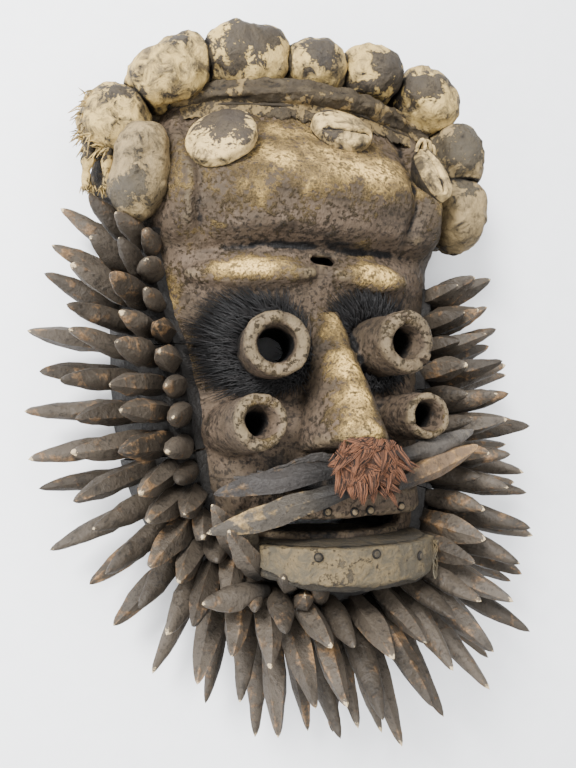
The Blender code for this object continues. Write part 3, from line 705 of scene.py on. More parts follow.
features = {
    "browY": 0.069,
    "browHalfHeight": 0.0105,
    "browRise": 0.010,
    "leftBrow": (-0.084, -0.006),
    "rightBrow": (0.006, 0.068),
    "tubeLength": 0.048,
    "tubeSink": 0.016,
    # root x, root y, rim's shift in x and y, rim radius, bore at the rim, bore at the throat
    "tubes": {
        "upperLeft": (-0.034, 0.020, -0.009, 0.001, 0.0190, 0.0122, 0.0102),
        "upperRight": (0.036, 0.023, 0.005, 0.001, 0.0190, 0.0112, 0.0092),
        "lowerLeft": (-0.056, -0.029, 0.004, 0.006, 0.0165, 0.0110, 0.0070),
        "lowerRight": (0.053, -0.022, -0.001, 0.002, 0.0145, 0.0100, 0.0070),
    },
    "noseTopY": 0.042,
    "noseTipY": -0.045,
    "noseX": 0.006,
    "noseTopRadius": 0.009,
    "noseHalfWidth": 0.030,
    "noseRise": 0.044,
    "lipHalfWidth": 0.062,
    "upperLipY": -0.072,
    "upperLipThickness": 0.016,
    "upperLipRise": 0.022,
    "lowerLipY": -0.105,
    "lowerLipThickness": 0.025,
    "lowerLipRise": 0.038,
    "mouthHalfWidth": 0.047,
    "mouthHeight": 0.010,
    "browSlot": (0.002, 0.078, 0.0090, 0.0030),
    "bridgeSlot": (0.012, 0.047, 0.0075, 0.0016),
    # cracks in the tubes' rims: direction in degrees and depth
    "rimCracks": {
        "upperLeft": ((75, 0.003), (-100, 0.004)),
        "upperRight": ((100, 0.007), (-48, 0.009), (-20, 0.003)),
        "lowerLeft": ((60, 0.003), (-120, 0.004)),
        "lowerRight": ((-150, 0.003),),
    },
    "nails": ((-0.0131, -0.0750), (0.0028, -0.0755), (0.0129, -0.0750), (0.0362, -0.0745)),
    "voxel": 0.00212,
}


def shellShape(cellsX, cellsY, smaller=0.0):
    # the face's plain form, or its hollow when it is made this much smaller
    shape = bmesh.new()
    bmesh.ops.create_grid(shape, x_segments=cellsX, y_segments=cellsY, size=1.0)
    middleY = face["middleY"]
    shrinkX = 1 - smaller / face["halfWidth"]
    shrinkY = 1 - smaller / (face["crownLength"] + face["chinLength"]) * 2
    for vert in shape.verts:
        a, b = vert.co.x, vert.co.y
        p, q = a * math.sqrt(1 - b * b / 2), b * math.sqrt(1 - a * a / 2)
        reach = math.hypot(p, q)
        rim = rimPoint(math.atan2(q, p or 1e-9))
        share = 1 - (1 - min(reach, 1.0)) ** 1.25
        y = middleY + (rim.y - middleY) * share
        x = (rim.x - jawShift(rim.y)) * share + jawShift(y)
        place = onFace(x, y)
        if reach > 1 - 1e-6:
            place.z = 0.0
        vert.co = (place.x * shrinkX, middleY + (place.y - middleY) * shrinkY, place.z - smaller)
    rimEdges = [edge for edge in shape.edges if edge.is_boundary]
    below = bmesh.ops.extrude_edge_only(shape, edges=rimEdges)["geom"]
    for vert in below:
        if isinstance(vert, bmesh.types.BMVert) and smaller > 0:
            vert.co.z = -3 * smaller
    if smaller == 0:
        bmesh.ops.remove_doubles(shape, verts=shape.verts, dist=1e-7)
    bmesh.ops.contextual_create(shape, geom=[e for e in shape.edges if e.is_boundary])
    return shape


def tubeLine(key):
    # where a tube eye starts on the face and where its rim is
    x, y, shiftX, shiftY = features["tubes"][key][:4]
    root = onFace(x, y)
    return root, root + Vector((shiftX, shiftY, features["tubeLength"]))


def browShape(start, end):
    # an almond between two places across the face
    left, right = onFace(start, features["browY"]), onFace(end, features["browY"])
    middle = (left + right) / 2
    middle.z = (middle.z + onFace(middle.x, features["browY"]).z) / 2
    radii = (features["browHalfHeight"], features["browRise"], (right - left).length / 2)
    return ball(middle, radii, pointing(right - left), 32, 24, 1.8)


def tubeShape(key):
    root, rim = tubeLine(key)
    axis = (rim - root).normalized()
    radius = features["tubes"][key][4]
    return cone(root - axis * features["tubeSink"], rim, radius * 1.02, radius, 44, 0.0035)


def noseShape():
    x, topRadius = features["noseX"], features["noseTopRadius"]
    top = onFace(x, features["noseTopY"])
    tip = onFace(x, features["noseTipY"], features["noseRise"])
    depth = tip.z - onFace(x, features["noseTipY"]).z + 0.010
    start, end = top - Vector((0, 0, topRadius)), tip - Vector((0, 0, depth))
    halfWidth = features["noseHalfWidth"]
    return cone(start, end, topRadius, halfWidth, 48, 0.006, depth / halfWidth)


def faceHoles():
    # name and shape of everything that is cut out of the face
    yield "hollow", shellShape(36, 48, face["wall"])
    for key in features["tubes"]:
        root, rim = tubeLine(key)
        axis = (rim - root).normalized()
        bore, throat = features["tubes"][key][5:]
        depth = features["tubeLength"] * 0.35
        yield key + "Mouth", cone(rim - axis * depth, rim + axis * 0.002, throat, bore)
        yield key + "Bore", cone(root - axis * 0.03, rim - axis * depth * 0.9, throat, throat)
    top = features["upperLipY"] - features["upperLipThickness"] / 2
    middle, half = jawShift(top), features["mouthHalfWidth"]
    yield "mouth", block(
        (middle - half, top - features["mouthHeight"], face["depth"] * 0.4),
        (middle + half, top, face["depth"] * 2),
    )
    for name in ("browSlot", "bridgeSlot"):
        x, y, halfX, halfY = features[name]
        z, deep = faceHeight(x, y), 3 * face["wall"]
        yield name, block((x - halfX, y - halfY, z - deep), (x + halfX, y + halfY, z + deep))


reliefs = {
    "ridgeY": 0.0960,
    "ridgeHalfLength": 0.066,
    "ridgeHeight": 0.0042,
    "undercutY": 0.0860,
    "undercutDepth": 0.0030,
    # x of the crease at the ridge and how far it leans out towards the crown
    "leftCrease": (-0.0765, -0.0030),
    "rightCrease": (0.0640, 0.0060),
    "creaseDepth": 0.0055,
    "creaseWidth": 0.0050,
    "lobeX": 0.0900,
    "lobeSwell": 0.0065,
    "toolMarks": 0.0011,
    "grain": 0.0005,
}


def creaseAmount(x, y):
    # how near this place is to the crease between the forehead and the lobe beside it
    foot, lean = reliefs["leftCrease" if x < 0 else "rightCrease"]
    lineX = foot + lean * (y - 0.09) / 0.07 + 0.0050 * wobble(Vector((0, y, 0.3)), 30, foot)
    along = step(y, 0.086, 0.098) * (1 - step(y, 0.176, 0.186))
    return bell(x, lineX, reliefs["creaseWidth"]) * along


def carveRelief(shape):
    # the sharp ridge under the forehead with its undercut, the creases beside its lobes, and the lobes' swell
    sizes = reliefs
    for vert in shape.verts:
        x, y, z = vert.co
        if faceHeight(x, y) - z > 0.006 or y < 0.075:
            continue
        inner = 1 - step(abs(x), sizes["ridgeHalfLength"], sizes["ridgeHalfLength"] + 0.018)
        wave = 0.0015 * math.sin(x * 75 + 0.6)
        ridge = bell(y + wave, sizes["ridgeY"], 0.0065) * inner
        under = bell(y + wave, sizes["undercutY"], 0.0035) * inner
        lobe = bell(abs(x), sizes["lobeX"], 0.014) * step(y, 0.086, 0.097) * (1 - step(y, 0.178, 0.190))
        rise = sizes["ridgeHeight"] * ridge - sizes["undercutDepth"] * under + sizes["lobeSwell"] * lobe
        vert.co += Vector((0, -0.35 * sizes["ridgeHeight"] * ridge, rise))
        vert.co.z -= sizes["creaseDepth"] * creaseAmount(x, y)


facePaint = {
    # x, y, rise, half sizes and strength of the places where cream crust holds
    "crusted": (
        (-0.010, 0.140, 0, (0.105, 0.034, 0.08), 0.62),
        (0.035, 0.136, 0, (0.050, 0.026, 0.06), 0.74),
        (-0.050, 0.116, 0, (0.036, 0.016, 0.06), 0.50),
        (0.010, 0.116, 0, (0.060, 0.012, 0.06), 0.40),
        (0.0, 0.160, 0, (0.090, 0.018, 0.06), 0.55),
        (-0.088, 0.130, 0, (0.014, 0.030, 0.05), 0.45),
        (0.088, 0.120, 0, (0.014, 0.026, 0.05), 0.55),
        (-0.050, 0.071, 0.008, (0.036, 0.010, 0.020), 0.80),
        (0.038, 0.070, 0.008, (0.030, 0.010, 0.020), 0.80),
        (-0.092, 0.050, 0, (0.014, 0.030, 0.05), 0.50),
        (-0.080, 0.010, 0, (0.012, 0.030, 0.05), 0.45),
        (-0.075, 0.090, 0, (0.020, 0.012, 0.05), 0.35),
        (0.030, 0.086, 0, (0.012, 0.010, 0.05), 0.45),
    ),
    "noseCrust": 0.85,
    "rimCrust": 0.36,
    # the same for darker patches: soot, with painted shade round the tubes' roots, under the nose, round the
    # mouth, under the roll and under the forehead's ridge
    "sootAndShadePatches": (
        (-0.052, 0.026, 0, (0.034, 0.032, 0.034), 0.90),
        (0.040, 0.026, 0, (0.042, 0.032, 0.034), 0.90),
        (-0.060, -0.020, 0, (0.030, 0.026, 0.034), 0.55),
        (0.055, -0.020, 0, (0.030, 0.026, 0.034), 0.60),
        (0.0, -0.056, 0, (0.090, 0.020, 0.040), 0.75),
        (0.0, 0.182, 0, (0.090, 0.010, 0.030), 0.60),
        (0.0, 0.0885, 0, (0.074, 0.004, 0.020), 0.65),
        (-0.030, 0.110, 0, (0.040, 0.007, 0.05), 0.30),
        (0.0, -0.100, 0, (0.080, 0.030, 0.040), 0.70),
    ),
}


def placedPatches(name):
    return [(onFace(x, y, rise), radii, strength) for x, y, rise, radii, strength in facePaint[name]]


def paintFace(shape):
    # where cream crust holds, and where it is darker: soot, with painted shade in the hollow back, down the
    # tubes' bores, in the creases and in the darker patches
    crust, soot = layer(shape, "crust"), layer(shape, "soot")
    tip = onFace(features["noseX"], features["noseTipY"], features["noseRise"])
    top = onFace(features["noseX"], features["noseTopY"])
    crusted, sootAndShadePatches = placedPatches("crusted"), placedPatches("sootAndShadePatches")
    for share in (0.15, 0.4, 0.65, 0.9):
        radii = (0.010 + 0.010 * share, 0.022, 0.018)
        crusted.append((top.lerp(tip, share), radii, facePaint["noseCrust"]))
    for key in features["tubes"]:
        crusted.append((tubeLine(key)[1], (0.021, 0.021, 0.006), facePaint["rimCrust"]))
    for vert in shape.verts:
        x, y, z = vert.co
        depth = faceHeight(x, y) - z
        # painted shade: the hollow back and the tubes' bores are made dark
        inside = min(max((depth - 0.008) / 0.004, 0.0), 1.0)
        for key in features["tubes"]:
            root, rim = tubeLine(key)
            axis = (rim - root).normalized()
            gone = vert.co - rim
            away = (gone - axis * gone.dot(axis)).length
            if away < features["tubes"][key][5] * 0.97 and gone.dot(axis) < -0.002:
                inside = max(inside, min(-gone.dot(axis) / 0.022, 1.0))
        vert[crust] = patchAmount(vert.co, crusted) * (1 - inside)
        # darker patches, the painted-dark hollow and bores, and painted shade in the creases beside the lobes
        vert[soot] = max(patchAmount(vert.co, sootAndShadePatches), inside, 0.42 * creaseAmount(x, y) ** 2)


def addNails(shape):
    # nail heads in the front of the upper lip, each in its ring of dirt
    middleX = jawShift(features["upperLipY"])
    top = onFace(middleX, features["upperLipY"]).z + features["upperLipRise"]
    for x, y in features["nails"]:
        across = (x - middleX) / features["lipHalfWidth"]
        z = top - lentilReach * (1 - math.sqrt(1 - across**2))
        for size, raised, dark in ((0.0028, 0.0006, 0.95), (0.0019, 0.0016, 0.2)):
            nail = ball((x, y, z + raised), (size, size, size * 0.5), None, 16, 8)
            addShape(shape, nail, crust=0.1, soot=dark)


def crackRim(shape, key, turns):
    # radial cracks and chips in a tube's rim, at these directions in degrees
    root, rim = tubeLine(key)
    axis = (rim - root).normalized()
    turn = pointing(axis, (0, 1, 0)).to_3x3().inverted()
    radius = features["tubes"][key][4]
    soot = layer(shape, "soot")
    for vert in shape.verts:
        local = turn @ (vert.co - rim)
        away = math.hypot(local.x, local.y)
        if away > radius * 1.15 or not -0.016 < local.z < 0.004:
            continue
        angle = math.degrees(math.atan2(local.y, local.x))
        vert.co += axis * 0.0011 * wobble(vert.co, 75, radius * 900)
        for at, depth in turns:
            gap = (angle - at + 180) % 360 - 180 + 6 * wobble(vert.co, 110, at)
            deep = depth * bell(gap, 0.0, 5.0) * step(local.z, -0.014, -0.001)
            vert.co -= axis * deep
            vert[soot] = 0.0


def makeCarvedFace():
    body = helperObject("faceBody", shellShape(44, 64))
    added = [
        helperObject("leftBrow", browShape(*features["leftBrow"])),
        helperObject("rightBrow", browShape(*features["rightBrow"])),
        helperObject("nose", noseShape()),
        helperObject("upperLip", lentil(
            features["upperLipY"], features["upperLipThickness"],
            features["upperLipRise"], features["lipHalfWidth"],
        )),
    ]
    added += [helperObject(key, tubeShape(key)) for key in features["tubes"]]
    body = helperObject("faceBody", cut(body, added, "UNION"))
    shape = cut(body, [helperObject(name, hole) for name, hole in faceHoles()], "DIFFERENCE")
    shape = remeshed(shape, features["voxel"])
    smoothed(shape, 2)
    carveRelief(shape)
    roughen(shape, reliefs["toolMarks"], 38, 3.1)
    roughen(shape, reliefs["grain"], 160, 8.2, 2)
    for key, turns in features["rimCracks"].items():
        crackRim(shape, key, turns)
    for vert in shape.verts:
        vert.co.z = max(vert.co.z, 0.0)
    paintFace(shape)
    addNails(shape)
    markRelief(shape, 2.2)
    print("carved face:", len(shape.faces), "faces")
    finishPiece("carved_face", shape, "face")


makeCarvedFace()


# Headdress

headdress = {
    "collarFrom": 31.0,
    "collarTo": 144.0,
    "collarThickness": 0.026,
    "collarTop": 0.046,
    "rollRadius": 0.0085,
    "rollY": 0.190,
    "rollReach": 0.094,
    "rollSag": 0.006,
    "rollPly": 0.0013,
    "rollDent": 0.0012,
    "cordRadius": 0.0011,
    "podDepth": 0.056,
    "podSwell": 1.07,
    # depth of the gathers at a pod's back, of its lumps, creases and grain
    "podGather": 0.0014,
    "podLumps": 0.0036,
    "podCrease": 0.0010,
    "podGrain": 0.0008,
    # node, degrees, outward, height, half sizes along and out, fullness, soot, finish,
    # bare patches: place along and out as shares, reach, strength
    "pods": (
        ("temple_pod_left", 141.0, -0.003, 0.066, 0.027, 0.016, 2.3, 0.16, "greyPod", ((0.5, 0.4, 0.6, 0.40),)),
        ("torn_pod", 131.0, 0.017, 0.046, 0.021, 0.020, 2.6, 0.15, "pod", ((-0.6, 0.5, 0.5, 0.35),)),
        ("crown_pod_1", 119.0, 0.007, 0.060, 0.026, 0.018, 2.5, 0.00, "pod", ((-0.3, 0.5, 0.4, 0.45),)),
        ("crown_pod_2", 104.0, 0.005, 0.062, 0.027, 0.018, 3.0, 0.00, "pod", ((0.0, 0.3, 0.9, 0.60),)),
        ("crown_pod_3", 88.0, 0.005, 0.062, 0.021, 0.017, 2.4, 0.00, "pod", ((0.2, 0.2, 0.8, 0.55),)),
        ("crown_pod_4", 74.0, 0.008, 0.061, 0.022, 0.016, 2.3, 0.05, "pod", ((-0.4, -0.1, 0.7, 0.60),)),
        ("crown_pod_5", 61.0, 0.012, 0.060, 0.021, 0.017, 2.5, 0.00, "pod", ((0.5, -0.3, 0.6, 0.60),)),
        ("crown_pod_6", 49.0, 0.011, 0.059, 0.021, 0.016, 2.5, 0.15, "greyPod", ((0.2, -0.1, 0.9, 0.50),)),
        ("temple_pod_right", 37.0, 0.007, 0.058, 0.024, 0.015, 2.6, 0.15, "greyPod", ((0.6, 0.0, 0.6, 0.50),)),
    ),
    "discRise": 0.012,
    "slitDepth": 0.42,
    "loopRadius": 0.0013,
    # node, place, half sizes, lean, bare patch, slit: its middle across the disc, bow, and whether it runs up
    "discs": (
        ("forehead_disc_left", -0.063, 0.150, 0.023, 0.024, (-0.25, -0.1), (0.0, 0.3, 0.9, 0.65), None),
        (
            "forehead_disc_middle", 0.017, 0.164, 0.021, 0.018, (0.0, -0.1),
            (-0.6, 0.6, 0.5, 0.45), (-0.42, 0.22, False),
        ),
        (
            "forehead_disc_right", 0.080, 0.140, 0.013, 0.021, (0.1, -0.1),
            (0.0, 0.6, 0.4, 0.35), (-0.45, 0.25, True),
        ),
    ),
    # the torn pod's hanging strips: start, end, thickness as a share of their radius
    "strips": (
        ((-0.1345, 0.170, 0.054), (-0.1405, 0.1235, 0.045), 0.95),
        ((-0.1235, 0.163, 0.058), (-0.1290, 0.1240, 0.050), 0.80),
    ),
    "stripRadius": 0.0056,
    "tornFibres": 90,
    "endFibres": 24,
    "underBandWidth": 0.013,
}


def makeCollar():
    sizes = headdress
    thickness, top = sizes["collarThickness"], sizes["collarTop"]
    section = (
        (-0.020, 0.003), (thickness * 0.9, 0.004), (thickness, top - 0.010),
        (thickness * 0.6, top), (-0.020, top + 0.005),
    )

    def cornersAt(degrees):
        return [outlinePoint(degrees, out)[0] + Vector((0, 0, height)) for out, height in section]

    shape = bmesh.new()
    ringStrip(spread(sizes["collarFrom"], sizes["collarTo"], 30), cornersAt, shape)
    shape = remeshed(shape, 0.0022)
    smoothed(shape, 3)
    roughen(shape, 0.0022, 55, 5.0)
    mark(shape, bare=0.5, soot=0.75)
    for vert in shape.verts:
        vert.co.z = max(vert.co.z, 0.001)
    print("collar:", len(shape.faces), "faces")
    finishPiece("headdress_collar", shape, "roll")


def rollCentre(x):
    sizes = headdress
    y = sizes["rollY"] - sizes["rollSag"] * abs(x / sizes["rollReach"]) ** 3
    return Vector((x, y, max(faceHeight(x, y), sizes["collarTop"] + 0.006) + sizes["rollRadius"] * 0.7))


def underBand():
    # the edge of a second hide that comes out under the roll, torn along its lower side
    rows = 8
    grid = []
    for x in spread(-0.086, 0.086, 120):
        top = rollCentre(x).y - 0.004
        torn = 0.30 * wobble(Vector((x, 0.1, 0.2)), 60, 3) + 0.22 * wobble(Vector((x, 0.3, 0.1)), 260, 5)
        column = []
        for k in range(rows + 1):
            y = top - headdress["underBandWidth"] * (1 + torn) * k / rows
            lift = 0.0045 - 0.0030 * (k / rows) + 0.0016 * wobble(Vector((x, y, 0)), 45, 8)
            column.append(onFace(x, y, max(lift, 0.0006)))
        grid.append(column)
    return sheet(grid, 0.0011)


def makeRoll():
    sizes = headdress
    points = [rollCentre(x) for x in spread(-sizes["rollReach"], 1.06 * sizes["rollReach"], 60)]
    shape = tubeAlong([points], [[sizes["rollRadius"] * 0.98] * len(points)], 9)
    bmesh.ops.remove_doubles(shape, verts=shape.verts, dist=1e-6)
    shape = remeshed(shape, 0.0010)
    smoothed(shape, 2)
    shape.normal_update()
    bare, soot = layer(shape, "bare"), layer(shape, "soot")
    for vert in shape.verts:
        away = vert.co - rollCentre(min(max(vert.co.x, -sizes["rollReach"]), sizes["rollReach"]))
        turn = math.atan2(away.z, away.y)
        drift = 1.6 * wobble(vert.co, 18, 1.0) + vert.co.x * 14
        fold = math.sin(turn * 4 + drift)
        fold = math.copysign(abs(fold) ** 0.6, fold) * (0.6 + 0.8 * wobble(vert.co, 25, 6.0))
        ply = sizes["rollPly"] * fold + sizes["rollDent"] * wobble(vert.co, 45, 2.0)
        flat = -0.0016 * max(math.cos(turn - 1.2), 0.0)
        vert.co += vert.normal * (ply + flat - 0.0012)
        # the folds' hollows get less pigment and more soot, which paints shade into them
        vert[bare] = 0.58 - 0.12 * fold + 0.5 * wobble(vert.co, 55, 4.0)
        vert[soot] = 0.30 - 0.16 * fold
    roughen(shape, 0.0013, 130, 2.0)
    cord = []
    for point in points[3:-3]:
        x, y = point.x, point.y - sizes["rollRadius"] * 0.95
        cord.append(onFace(x, y + 0.001 * math.sin(x * 60), 0.0028 + 0.0005 * math.sin(x * 210)))
    addShape(shape, tubeAlong([cord], [[sizes["cordRadius"]] * len(cord)], 3), bare=0.9, soot=0.55)
    addShape(shape, underBand(), bare=0.50, soot=0.20)
    markRelief(shape, 2.6, 3)
    print("rolled band:", len(shape.faces), "faces")
    finishPiece("rolled_band", shape, "roll")


def podFrame(pod):
    _, degrees, outward, height, halfAlong, halfOut, fullness = pod[:7]
    place, normal = outlinePoint(degrees, outward)
    place.z = height
    turn = Matrix((Vector((-normal.y, normal.x, 0)), normal, Vector((0, 0, 1)))).transposed()
    swell = headdress["podSwell"]
    return place, turn, Vector((halfAlong * swell, halfOut * swell, headdress["podDepth"] / 2)), fullness


def podLevel(frame, at):
    # 1 on a pod's surface, less inside it
    place, turn, radii, fullness = frame
    local = turn.transposed() @ (at - place)
    return sum(abs(c / r) ** fullness for c, r in zip(local, radii)) ** (1 / fullness)


def addTorn(shape, frame):
    # the torn pod's hanging strips and loose fibres
    draw = random.Random(11)
    lines, sizes = [], []
    for start, end, thick in headdress["strips"]:
        start, end = Vector(start), Vector(end)
        line = []
        for t in spread(0, 1, 12):
            bow = Vector((-0.0030 * math.sin(math.pi * t), 0, 0.0035 * math.sin(math.pi * t)))
            line.append(start.lerp(end, t) + bow)
        lines.append(line)
        radius = headdress["stripRadius"] * thick
        sizes.append([radius * (0.95 - 0.35 * (i / 12) + 0.12 * math.sin(i * 1.9)) for i in range(13)])
    strips = remeshed(tubeAlong(lines, sizes, 4), 0.0010)
    roughen(strips, 0.0016, 90, 4.0)
    addShape(shape, strips, bare=0.50, soot=0.44)
    lines, sizes = [], []
    for _ in range(headdress["tornFibres"]):
        turn = draw.uniform(2.2, 4.4)
        rim = Vector((0.0215 * math.cos(turn), 0.021 * math.sin(turn) - 0.002, draw.uniform(-0.006, 0.020)))
        place = frame[0] + rim
        way = Vector((draw.uniform(-1.0, -0.2), draw.uniform(-1.2, 0.3), draw.uniform(-0.3, 0.5))).normalized()
        long = draw.uniform(0.004, 0.013)
        bent = Vector((0, -0.25 * long, 0))
        lines.append([place, place + way * long * 0.5, place + way * long + bent])
        sizes.append([0.0006, 0.0005, 0.0001])
    for _, (x, _, _), _ in headdress["strips"]:
        for _ in range(headdress["endFibres"]):
            place = Vector((x + draw.uniform(-0.004, 0.004), 0.126, 0.047 + draw.uniform(-0.003, 0.003)))
            lines.append([place, place + Vector((draw.uniform(-0.003, 0.003), -draw.uniform(0.003, 0.007), 0))])
            sizes.append([0.0006, 0.0001])
    addShape(shape, tubeAlong(lines, sizes, 1), bare=0.2, soot=0.30)


def makePod(number, frames):
    node, degrees, *_, soot0, finish, patches = headdress["pods"][number]
    frame = frames[number]
    place, turn, radii, fullness = frame
    near = [frames[k] for k in (number - 1, number + 1) if 0 <= k < len(frames)]
    shape = ball(place, radii, turn.to_4x4(), 72, 48, fullness)
    bare, soot = layer(shape, "bare"), layer(shape, "soot")
    shape.normal_update()
    seams = {}
    for vert in shape.verts:
        local = turn.transposed() @ (vert.co - place)
        u, v, w = (c / r for c, r in zip(local, radii))
        gather = math.sin(math.atan2(v, u) * 9 + 3 * wobble(vert.co, 40, degrees))
        towardsBack = step(-w, -0.2, 0.9)
        crease = max(0.0, 1 - abs(wobble(vert.co, 26, degrees + 2, 2)) / 0.10)
        dent = headdress["podGather"] * gather * towardsBack - headdress["podCrease"] * crease**2
        dent += headdress["podLumps"] * wobble(vert.co, 38, degrees)
        vert.co += vert.normal * (dent - 0.0008)
        closest = 9.0
        for other in near:
            level = podLevel(other, vert.co)
            if level < 1.0:
                low, high = 0.0, 1.0
                for _ in range(12):
                    t = (low + high) / 2
                    if podLevel(other, place.lerp(vert.co, t)) > podLevel(frame, place.lerp(vert.co, t)):
                        low = t
                    else:
                        high = t
                vert.co = place.lerp(vert.co, low * 0.985)
                level = 1.0
            closest = min(closest, level)
        seams[vert] = 1 - step(closest, 1.0, 1.16)
        peel = 0.25 + 0.25 * wobble(vert.co, 22, degrees + 4)
        for pu, pv, reach, strength in patches:
            peel += strength * math.exp(-((u - pu) ** 2 + (v - pv) ** 2) / reach**2)
        vert[bare] = peel
        # the pod's own soot, with painted shade towards its back, in its creases and where it meets the pods
        # beside it
        vert[soot] = max(soot0 + 0.5 * towardsBack**2 + 0.14 * crease**2, 0.95 * seams[vert])
    roughen(shape, headdress["podGrain"], 120, degrees)
    markRelief(shape, 2.2, 3)
    if node == "torn_pod":
        addTorn(shape, frame)
    finishPiece(node, shape, finish)


def makeDisc(node, x, y, halfWidth, halfHeight, lean, patch, slit):
    rise = headdress["discRise"]
    normal = (faceNormal(x, y) + Vector((*lean, 0))).normalized()
    turn = pointing(normal, (0, 1, 0))
    centre = onFace(x, y, rise * 0.3)
    shape = ball((0, 0, 0), (1, 1, 1), None, 96, 60)
    bare, soot = layer(shape, "bare"), layer(shape, "soot")
    for vert in shape.verts:
        u, v, w = vert.co
        lumpy = 1 + 0.05 * wobble(Vector((u, v, 0)), 1.1, x * 90)
        edge = math.hypot(u, v)
        peel = 0.25 + 0.3 * wobble(vert.co, 0.9, x * 70)
        peel += patch[3] * math.exp(-((u - patch[0]) ** 2 + (v - patch[1]) ** 2) / patch[2] ** 2)
        # painted shade: dark round the rim's edge, on the underside and in the slit
        paintedShade = 0.55 * step(edge, 0.86, 1.0) if w < 0.35 else 0.0
        top = 0.30 * step(w, 0.0, 0.16) + 0.62 * max(w, 0.0) + 0.05 * wobble(Vector((u, v, 0)), 2.2, x * 40)
        if w < 0:
            top = w
            u, v = u * (1 + 0.30 * w), v * (1 + 0.30 * w)
            paintedShade = 0.9
        if slit and w > 0:
            middle, bow, upright = slit
            across, along = (u, v) if upright else (v, u)
            gap = across - (middle + bow * (along * along - 0.3))
            mouth = bell(gap, 0.0, 0.055) * (1 - step(abs(along), 0.72, 0.92))
            top -= headdress["slitDepth"] * mouth
            top += 0.10 * bell(gap, 0.12, 0.09) * (1 - step(abs(along), 0.72, 0.92))
            paintedShade = max(paintedShade, mouth * 1.3)
        vert.co = (u * halfWidth * lumpy, v * halfHeight * lumpy, top * rise)
        vert[bare], vert[soot] = peel, paintedShade
    bmesh.ops.transform(shape, matrix=Matrix.Translation(centre) @ turn, verts=shape.verts)
    roughen(shape, 0.0005, 150, x * 50)
    markRelief(shape, 2.0, 2)
    if node == "forehead_disc_right":
        loops, sizes = [], []
        for side, high in ((-0.4, 0.0075), (0.1, 0.0085), (0.5, 0.0065)):
            foot = centre + turn.to_3x3() @ Vector((side * halfWidth, halfHeight * 0.80, rise * 0.35))
            loops.append([
                foot + Vector((0.0032 * math.cos(t), high * math.sin(t), 0.003 * math.sin(t)))
                for t in spread(0, math.pi, 10)
            ])
            sizes.append([headdress["loopRadius"]] * len(loops[-1]))
        addShape(shape, tubeAlong(loops, sizes, 3), bare=0.15, soot=0.25, relief=0.5)
    finishPiece(node, shape, "disc")


makeCollar()
makeRoll()
podFrames = [podFrame(pod) for pod in headdress["pods"]]
for podNumber in range(len(podFrames)):
    makePod(podNumber, podFrames)
for disc in headdress["discs"]:
    makeDisc(*disc)
print("headdress made")


# Lower lip

lipSizes = {
    "boardThickness": 0.0205,
    "coverLift": 0.0014,
    "coverHalfAngle": 66,
    "coverThickness": 0.0012,
    "coverRagged": 0.0026,
    "threads": 7,
    "threadRadius": 0.0005,
    "slab": ((-0.0575, -0.1010, 0.098), (-0.0470, -0.0760, 0.1155)),
    "nails": ((-0.0222, -0.0985), (0.0100, -0.0975), (0.0420, -0.1020)),
}


lipY, lipThickness = features["lowerLipY"], features["lowerLipThickness"]
lipX = jawShift(lipY)


def lipPoint(angle, y, lift=0.0):
    # a point on the front of the lower lip, this many degrees from its middle
    top = onFace(lipX, lipY).z + features["lowerLipRise"]
    turn = math.radians(angle)
    across = features["lipHalfWidth"] - 0.0018 + lift
    reach = lentilReach - 0.0015 + lift
    return Vector((lipX + across * math.sin(turn), y, top - lentilReach + reach * math.cos(turn)))


def lipCover(lift, drop, ragged, seed):
    # hide stretched over the front of the lip, its lower edge torn
    rows = 22
    top, tall = lipY + lipThickness * 0.42, lipThickness * 0.84
    grid = []
    for share in spread(0, 1, 110):
        angle = lipSizes["coverHalfAngle"] * (2 * share - 1)
        torn = wobble(Vector((share, 0.2, 0.4)), 5, seed) + 0.45 * wobble(Vector((share, 0.5, 0.1)), 28, seed)
        narrow = 1 - 0.38 * (1 - step(share, 0.0, 0.30)) - 0.25 * step(share, 0.85, 1.0)
        reach = (tall + drop) * narrow + ragged * torn
        column = []
        for k in range(rows + 1):
            y = top - reach * k / rows
            fold = 0.0011 * wobble(Vector((share * 2, y * 14, 0)), 3, seed + 2)
            point = lipPoint(angle, y, lift + fold)
            point.z -= 1.1 * max(lipY - tall * 0.42 - y, 0.0)
            column.append(point)
        grid.append([lipPoint(angle, top + 0.0008, lift - 0.005)] + column)
    shape = sheet(grid, lipSizes["coverThickness"])
    roughen(shape, 0.0004, 220, seed)
    return shape


